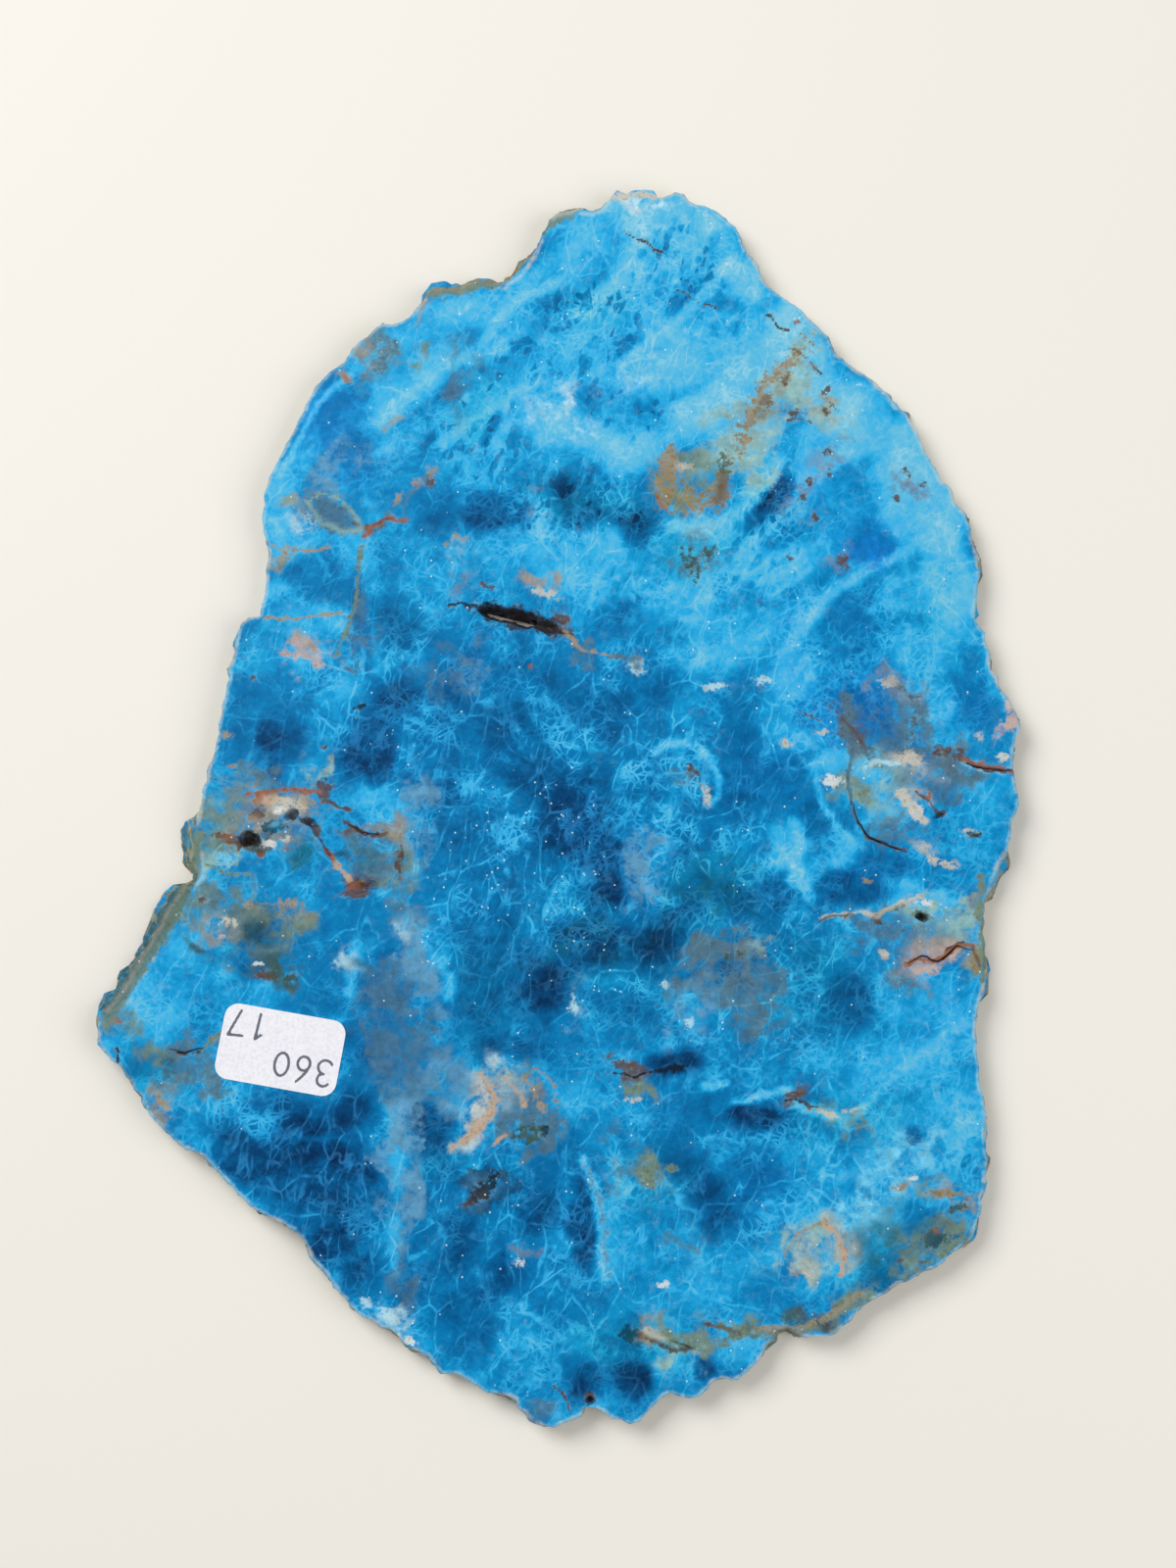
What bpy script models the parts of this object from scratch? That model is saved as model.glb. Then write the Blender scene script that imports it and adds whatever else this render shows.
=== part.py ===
"""A sawn slab of blue apatite with its natural rind, and the paper sticker on its face.

The slab lies on its back: its sawn face looks up, and its foot, the end it was stood on, points to -Y.
The origin is on the surface that it lies on, under the middle of the slab. Sizes are in millimetres
here, and the objects that are made from them are in metres, +Z up.
"""

import math

import bmesh
import bpy
from mathutils import Matrix, Vector, noise

MM = 0.001

# Slab
THICKNESS = 4.2
OUTLINE_SPACING = 1.55
CHIP_DEPTH = 0.5
CHIP_SCALE = 0.45
RIND_LEVELS = (0.0, 0.16, 0.4, 0.7, 1.0)
RIND_LUMP = 1.1
RIND_LUMP_SCALE = 0.36
RIND_LEAN = 0.9
RIND_LEAN_SCALE = 0.085

# Sticker
STICKER_LENGTH = 19.4
STICKER_WIDTH = 12.0
STICKER_CORNER = 2.2
STICKER_THICKNESS = 0.2
STICKER_GAP = 0.3
STICKER_CENTRE = (-44.6, -42.2)
STICKER_TURN = -10.0

# The sawn face's edge, clockwise from the top of the crest
FACE_EDGE = (
    # crest
    (7.2, 97.4), (8.4, 99.8), (10.2, 99.4), (14.2, 100.0), (15.6, 98.4), (19.2, 99.6),
    (21.2, 97.2), (22.6, 97.4), (26.3, 95.2),
    # right shoulder
    (28.2, 93.2), (30.2, 89.4), (32.4, 86.2), (33.2, 83.8), (36.8, 80.5), (38.6, 79.4),
    (41.5, 76.4), (43.3, 74.6), (44.2, 72.2), (46.0, 70.2), (50.6, 67.1), (53.4, 64.2),
    (54.9, 62.0), (56.5, 61.0), (58.8, 55.6), (61.3, 50.2), (63.2, 48.8), (63.8, 46.6),
    (65.3, 44.6),
    # right side
    (66.2, 41.0), (67.4, 35.0), (66.5, 30.0), (66.8, 26.2), (68.3, 24.2), (69.2, 18.6),
    (72.8, 11.4), (73.5, 9.6), (72.3, 6.2), (72.2, 1.0), (72.8, -2.2), (71.4, -7.6),
    (70.8, -10.6), (68.6, -14.4), (66.9, -19.4), (66.5, -25.0), (66.5, -31.5), (65.2, -37.5),
    (65.3, -43.5), (66.1, -51.0), (66.2, -58.0), (65.5, -65.0), (63.6, -71.3),
    # lower right, down to the foot
    (60.0, -74.0), (58.2, -75.6), (49.5, -80.0), (46.4, -81.8), (43.0, -85.3), (38.6, -86.5),
    (34.6, -85.0), (32.4, -86.4), (29.8, -90.6), (26.0, -93.0), (24.0, -92.6), (20.6, -95.6),
    (15.8, -95.2), (10.9, -99.5), (8.0, -98.7), (4.0, -96.7), (2.8, -98.3), (-1.5, -100.0),
    (-4.2, -99.5), (-6.9, -96.9), (-7.5, -95.5), (-11.0, -94.8),
    # lower left
    (-16.8, -91.9), (-18.9, -91.5), (-21.4, -88.8), (-23.6, -88.4), (-25.6, -86.2),
    (-31.8, -82.6), (-38.4, -75.2), (-42.0, -70.3), (-48.8, -66.5), (-53.2, -62.0),
    (-57.0, -58.6), (-61.6, -56.0), (-66.8, -49.2), (-69.5, -44.8), (-71.2, -43.7),
    # left tip
    (-73.2, -41.0), (-73.4, -38.2), (-71.8, -36.3), (-69.0, -34.8),
    # left side
    (-66.3, -30.0), (-63.8, -24.8), (-62.6, -20.8), (-58.2, -15.6), (-57.2, -13.4),
    (-58.4, -8.6), (-57.6, 0.0), (-56.0, 5.6), (-55.2, 11.0), (-52.2, 26.0), (-49.0, 28.2),
    (-48.2, 35.5), (-48.1, 38.6), (-49.1, 43.5), (-48.4, 49.8), (-45.6, 55.8), (-40.8, 65.8),
    (-38.4, 68.5), (-35.7, 70.5), (-35.0, 72.4), (-30.2, 76.5), (-26.5, 77.3), (-21.8, 82.0),
    # upper left, back to the crest
    (-20.0, 82.5), (-17.8, 81.8), (-14.6, 83.5), (-10.0, 83.0), (-7.4, 85.4), (-5.0, 88.4),
    (-2.5, 94.7), (-0.4, 95.9), (5.8, 96.0),
)

# Stretches where the rind runs out past the sawn face towards the back:
# the middle of the stretch, its half length along the edge, and how far it reaches
RIND_FLARES = (
    ((-13.0, 83.3), 13.0, 2.6),
    ((2.6, 96.0), 5.0, 1.6),
    ((-65.0, -27.0), 15.5, 3.6),
    ((-58.0, -9.5), 6.0, 3.5),
    ((53.6, 64.0), 4.5, 1.2),
    ((66.6, 39.0), 7.0, 1.0),
    ((66.6, 28.0), 4.0, 1.0),
    ((72.2, 3.0), 5.0, 0.7),
    ((68.2, -15.2), 5.0, 2.0),
    ((66.5, -26.0), 8.0, 1.6),
    ((66.2, -57.0), 10.0, 1.2),
    ((63.4, -71.6), 3.5, 1.5),
    ((33.0, -86.0), 5.0, 1.0),
)

# The open slot through the slab, clockwise round its mouth
SLOT_MOUTH = (
    (-14.0, 29.2), (-12.4, 30.0), (-9.8, 29.1), (-7.0, 28.6), (-4.4, 27.8), (-3.6, 27.0),
    (-4.4, 25.8), (-6.2, 25.3), (-9.6, 26.4), (-12.4, 26.9), (-13.9, 28.0),
)
SLOT_TAPER = 0.84

# Pits in the sawn face: middle, half length, half width, depth and turn in degrees
PITS = (
    ((-2.9, 25.9), 2.4, 1.3, 1.5, -20.0),
    ((-50.1, -8.9), 1.8, 1.3, 2.6, -15.0),
    ((-43.4, -4.9), 1.3, 0.9, 1.1, 10.0),
    ((-40.4, -6.0), 1.4, 0.6, 0.9, -35.0),
    ((-31.9, -16.3), 2.6, 1.1, 0.9, 5.0),
    ((57.0, -21.1), 1.2, 0.8, 1.8, -15.0),
    ((65.7, -8.0), 1.3, 0.5, 0.9, -10.0),
    ((60.0, -4.9), 0.9, 0.5, 0.9, 20.0),
    ((4.2, -96.0), 0.8, 0.7, 1.2, 0.0),
)
PIT_LUMP = 0.28

# Open cracks in the sawn face: their routes, half width and depth
CRACKS = (
    (((64.0, 3.6), (66.6, 2.9), (69.6, 2.4), (75.5, 2.2)), 0.5, 1.0),
    (((46.1, -2.5), (47.2, -6.2), (48.7, -8.5), (51.8, -9.8), (55.2, -11.0)), 0.45, 0.8),
    (((54.6, -28.6), (57.0, -27.6), (59.6, -28.3), (62.6, -25.9), (65.0, -26.6)), 0.55, 0.9),
    (((-34.4, -6.4), (-32.4, -7.6), (-29.4, -8.2)), 0.5, 0.7),
    (((-62.2, -42.1), (-59.6, -42.7), (-56.6, -41.9)), 0.4, 0.6),
    (((16.6, -87.0), (18.6, -87.6), (19.8, -88.1)), 0.4, 0.6),
)

CLEARANCE = 1.0


def new_object(name, mesh):
    """Links a new object with this mesh to the scene."""
    made = bpy.data.objects.new(name, mesh)
    bpy.context.scene.collection.objects.link(made)
    return made


def finish_mesh(name, bm):
    """Turns a bmesh in millimetres into a mesh in metres, with its faces pointing out."""
    bmesh.ops.scale(bm, vec=(MM, MM, MM), verts=bm.verts)
    bmesh.ops.recalc_face_normals(bm, faces=bm.faces)
    mesh = bpy.data.meshes.new(name)
    bm.to_mesh(mesh)
    bm.free()
    return mesh


def plain_material(name, colour, roughness):
    """A surface with this colour and roughness."""
    material = bpy.data.materials.new(name)
    material.use_nodes = True
    surface = material.node_tree.nodes["Principled BSDF"]
    surface.inputs["Base Color"].default_value = (*colour, 1.0)
    surface.inputs["Roughness"].default_value = roughness
    surface.inputs["Metallic"].default_value = 0.0
    material.diffuse_color = (*colour, 1.0)
    return material


def smooth_loop(corners, steps=10):
    """Points along the closed curve that runs through these corners."""
    count = len(corners)
    points = []
    for i in range(count):
        before, start, end, after = (Vector(corners[(i + k) % count]) for k in (-1, 0, 1, 2))
        for step in range(steps):
            t = step / steps
            along = (end - before) * t
            bend = (2 * before - 5 * start + 4 * end - after) * t**2
            twist = (3 * start - before - 3 * end + after) * t**3
            points.append(start + 0.5 * (along + bend + twist))
    return points


def evenly_spaced(loop, spacing):
    """The closed loop again, with its points about this far apart along it."""
    lengths = [(loop[(i + 1) % len(loop)] - point).length for i, point in enumerate(loop)]
    count = round(sum(lengths) / spacing)
    gap = sum(lengths) / count
    points = []
    i = 0
    passed = 0.0
    for k in range(count):
        while passed + lengths[i] < k * gap:
            passed += lengths[i]
            i += 1
        share = (k * gap - passed) / lengths[i]
        points.append(loop[i].lerp(loop[(i + 1) % len(loop)], share))
    return points


def outward(loop, i, reach=2):
    """The direction out of a clockwise loop at its point i."""
    along = loop[(i + reach) % len(loop)] - loop[i - reach]
    return Vector((-along.y, along.x)).normalized()


def nearest(loop, place):
    """The number of the loop's point that is nearest to this place."""
    return min(range(len(loop)), key=lambda i: (loop[i] - Vector(place)).length)


def flare_at(loop, i, middles):
    """How far the rind runs out past the face at point i, at the slab's back."""
    widest = 0.0
    for (_, half_length, reach), middle in zip(RIND_FLARES, middles):
        steps = abs(i - middle)
        share = min(steps, len(loop) - steps) * OUTLINE_SPACING / half_length
        if share < 1:
            widest = max(widest, reach * min(1.0, 2.2 * math.cos(share * math.pi / 2)))
    return widest


def rind_rings():
    """The rings of points from the sawn face down to the back."""
    loop = evenly_spaced(smooth_loop(FACE_EDGE), OUTLINE_SPACING)
    middles = [nearest(loop, place) for place, _, _ in RIND_FLARES]
    rings = [[] for _ in RIND_LEVELS]
    for i, point in enumerate(loop):
        out = outward(loop, i)
        flare = flare_at(loop, i, middles)
        chip = CHIP_DEPTH * noise.noise(Vector((*point, 0.0)) * CHIP_SCALE)
        lean = RIND_LEAN * noise.noise(Vector((*point, 90.0)) * RIND_LEAN_SCALE)
        for ring, level in zip(rings, RIND_LEVELS):
            z = THICKNESS * (1 - level)
            lump = RIND_LUMP * noise.noise(Vector((*point, 2.0 * z)) * RIND_LUMP_SCALE)
            reach = chip + (lump + lean) * level**0.6 + flare * level**0.75
            ring.append((*(point + out * reach), z))
    return rings


def stacked_solid(rings):
    """A closed solid through these rings, with a flat face on the first one and on the last."""
    bm = bmesh.new()
    place = bm.verts.layers.int.new("place")
    for i, point in enumerate(rings[0]):
        bm.verts.new(point)[place] = i
    face = bm.faces.new(bm.verts)
    for level, ring in enumerate(rings[1:]):
        from_here = [face, *face.edges]
        made = bmesh.ops.extrude_face_region(bm, geom=from_here, use_keep_orig=level == 0)
        face = next(item for item in made["geom"] if isinstance(item, bmesh.types.BMFace))
        for vert in face.verts:
            vert.co = ring[vert[place]]
    return bm


def cutter(name, bm):
    """A helper that cuts and isn't part of the object."""
    made = new_object(name, finish_mesh(name, bm))
    made.hide_render = True
    made.display_type = "WIRE"
    return made


def slot_cutter():
    """The slot's space, a little narrower towards the back."""
    loop = evenly_spaced(smooth_loop(SLOT_MOUTH), 0.9)
    middle = sum(loop, Vector((0, 0))) / len(loop)
    top = [(*point, THICKNESS + CLEARANCE) for point in loop]
    bottom = [(*middle.lerp(point, SLOT_TAPER), -CLEARANCE) for point in loop]
    return cutter("slot_cutter", stacked_solid([top, bottom]))


def pit_cutter(index, middle, half_length, half_width, depth, turn):
    """A lumpy ball, sunk into the face as deep as the pit."""
    bm = bmesh.new()
    bmesh.ops.create_icosphere(bm, subdivisions=2, radius=1.0)
    for vert in bm.verts:
        vert.co *= 1 + PIT_LUMP * noise.noise(vert.co * 1.7 + Vector((index, 0, 0)))
    size = (half_length * 1.12, half_width * 1.12, depth * 1.6)
    bmesh.ops.scale(bm, vec=size, verts=bm.verts)
    bmesh.ops.rotate(bm, matrix=Matrix.Rotation(math.radians(turn), 3, "Z"), verts=bm.verts)
    bmesh.ops.translate(bm, vec=(*middle, THICKNESS + depth * 0.6), verts=bm.verts)
    return cutter(f"pit_cutter_{index}", bm)


def crack_cutter(index, route, half_width, depth):
    """A wedge along the crack, shallower towards its ends."""
    points = [Vector(place) for place in route]
    last = len(points) - 1
    bm = bmesh.new()
    sections = []
    for i, point in enumerate(points):
        along = (points[min(i + 1, last)] - points[max(i - 1, 0)]).normalized()
        side = Vector((-along.y, along.x)) * half_width
        share = math.sin(math.pi * (i + 0.35) / (last + 0.7))
        corners = (
            (*(point - side), THICKNESS + depth),
            (*(point + side), THICKNESS + depth),
            (*point, THICKNESS - depth * share),
        )
        sections.append([bm.verts.new(corner) for corner in corners])
    for here, there in zip(sections, sections[1:]):
        for k in range(3):
            after = (k + 1) % 3
            bm.faces.new((here[k], here[after], there[after], there[k]))
    bm.faces.new(sections[0])
    bm.faces.new(sections[-1])
    return cutter(f"crack_cutter_{index}", bm)


def cut(target, tool):
    """Takes the tool's shape out of the target."""
    modifier = target.modifiers.new(tool.name, "BOOLEAN")
    modifier.operation = "DIFFERENCE"
    modifier.object = tool


def make_slab(rings):
    """The stone: one piece, with its slot, pits and open cracks."""
    slab = new_object("apatite_slab", finish_mesh("apatite_slab", stacked_solid(rings)))
    slab.data.materials.append(plain_material("blue_apatite", (0.045, 0.30, 0.62), 0.32))
    cut(slab, slot_cutter())
    for index, pit in enumerate(PITS):
        cut(slab, pit_cutter(index, *pit))
    for index, crack in enumerate(CRACKS):
        cut(slab, crack_cutter(index, *crack))


def make_sticker():
    """The paper sticker, a rounded rectangle just off the sawn face."""
    bm = bmesh.new()
    bmesh.ops.create_grid(bm, x_segments=1, y_segments=1, size=0.5)
    bmesh.ops.scale(bm, vec=(STICKER_LENGTH, STICKER_WIDTH, 1), verts=bm.verts)
    bmesh.ops.bevel(
        bm,
        geom=bm.verts,
        offset=STICKER_CORNER,
        segments=6,
        profile=0.5,
        affect="VERTICES",
        material=-1,
    )
    made = bmesh.ops.extrude_face_region(bm, geom=bm.faces, use_keep_orig=True)
    top = [item for item in made["geom"] if isinstance(item, bmesh.types.BMVert)]
    bmesh.ops.translate(bm, vec=(0, 0, STICKER_THICKNESS), verts=top)
    sticker = new_object("price_sticker", finish_mesh("price_sticker", bm))
    sticker.location = Vector((*STICKER_CENTRE, THICKNESS + STICKER_GAP)) * MM
    sticker.rotation_euler.z = math.radians(STICKER_TURN)
    sticker.data.materials.append(plain_material("white_paper", (0.86, 0.86, 0.88), 0.6))


def box_middle(rings):
    """The middle of the box round these rings, seen from above."""
    points = [point for ring in rings for point in ring]
    spans = [(min(p[k] for p in points), max(p[k] for p in points)) for k in (0, 1)]
    return Vector((sum(spans[0]) / 2, sum(spans[1]) / 2, 0.0))


def main():
    """Clears the scene, makes the two pieces and sets them over the origin."""
    for old in list(bpy.data.objects):
        bpy.data.objects.remove(old)
    rings = rind_rings()
    make_slab(rings)
    make_sticker()
    for made in bpy.data.objects:
        made.location -= box_middle(rings) * MM


main()
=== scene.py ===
"""The looks of a sawn slab of blue apatite and of the paper sticker on its face.

Places on the stone are in millimetres on its sawn face: x across it and y from its foot to its crest.
The markings are strokes laid over each other, from broad zones down to hair cracks. They are kept as
attributes of the fine mesh, and the stone's finish adds the clouds, cells and fracture lines to them.
"""

import logging
import math
from dataclasses import dataclass, field
from enum import Enum
from typing import Callable, Iterable, Mapping, Sequence

import bmesh
import bpy
import numpy as np
from mathutils import Matrix, Vector, kdtree, noise

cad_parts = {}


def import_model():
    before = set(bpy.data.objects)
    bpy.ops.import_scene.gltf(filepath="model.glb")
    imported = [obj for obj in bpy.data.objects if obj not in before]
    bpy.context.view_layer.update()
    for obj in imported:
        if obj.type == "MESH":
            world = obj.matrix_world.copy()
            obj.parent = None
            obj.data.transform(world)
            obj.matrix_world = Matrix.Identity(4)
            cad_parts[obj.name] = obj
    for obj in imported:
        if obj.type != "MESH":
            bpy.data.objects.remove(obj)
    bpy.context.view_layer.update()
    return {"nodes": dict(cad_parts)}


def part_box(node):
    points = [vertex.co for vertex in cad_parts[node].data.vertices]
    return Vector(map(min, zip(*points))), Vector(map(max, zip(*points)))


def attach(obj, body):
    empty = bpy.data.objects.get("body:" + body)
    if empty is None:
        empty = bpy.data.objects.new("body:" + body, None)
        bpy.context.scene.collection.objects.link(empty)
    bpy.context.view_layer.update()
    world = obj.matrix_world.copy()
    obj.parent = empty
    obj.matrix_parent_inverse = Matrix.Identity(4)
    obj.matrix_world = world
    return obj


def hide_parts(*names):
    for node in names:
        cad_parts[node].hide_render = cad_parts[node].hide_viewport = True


LOG = logging.getLogger("apatite_slab")
MM = 0.001
STONE_NODE = "apatite_slab"
STICKER_NODE = "price_sticker"
STICKER_PLACE = (-44.6, -42.2)
STICKER_TURN = -10.0
SLOT = (-8.8, 27.6, 5.4, 1.9, -14.0)

Colour = tuple[float, float, float]


class Tone(Enum):
    """The colours of the stone's veils and stains, as they look to the eye."""

    NAVY = (0.02, 0.24, 0.40)
    TEAL = (0.06, 0.40, 0.50)
    DARK_TEAL = (0.05, 0.28, 0.36)
    VIOLET = (0.06, 0.47, 0.77)
    SLATE = (0.26, 0.43, 0.55)
    LAVENDER = (0.36, 0.58, 0.72)
    MAUVE = (0.42, 0.50, 0.60)
    GREY = (0.32, 0.44, 0.50)
    CYAN = (0.45, 0.78, 0.90)
    FROST = (0.70, 0.85, 0.90)
    WHITE = (0.86, 0.88, 0.87)
    BONE = (0.78, 0.76, 0.70)
    TAN = (0.62, 0.56, 0.46)
    OCHRE = (0.58, 0.50, 0.34)
    OLIVE = (0.44, 0.52, 0.44)
    SAGE = (0.55, 0.70, 0.68)
    MOSS = (0.24, 0.34, 0.30)
    PEACH = (0.74, 0.64, 0.54)
    PINK = (0.76, 0.66, 0.62)
    RUST = (0.60, 0.37, 0.24)
    BROWN = (0.36, 0.27, 0.22)
    UMBER = (0.22, 0.17, 0.15)
    SHADOW = (0.07, 0.12, 0.16)


def linear(colour: Colour) -> Colour:
    """Turns a colour as it looks on screen into light amounts.

    Args:
        colour: Red, green and blue as seen, from 0 to 1.

    Returns:
        The same colour in linear light.
    """
    return tuple(c / 12.92 if c <= 0.04045 else ((c + 0.055) / 1.055) ** 2.4 for c in colour)


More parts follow.
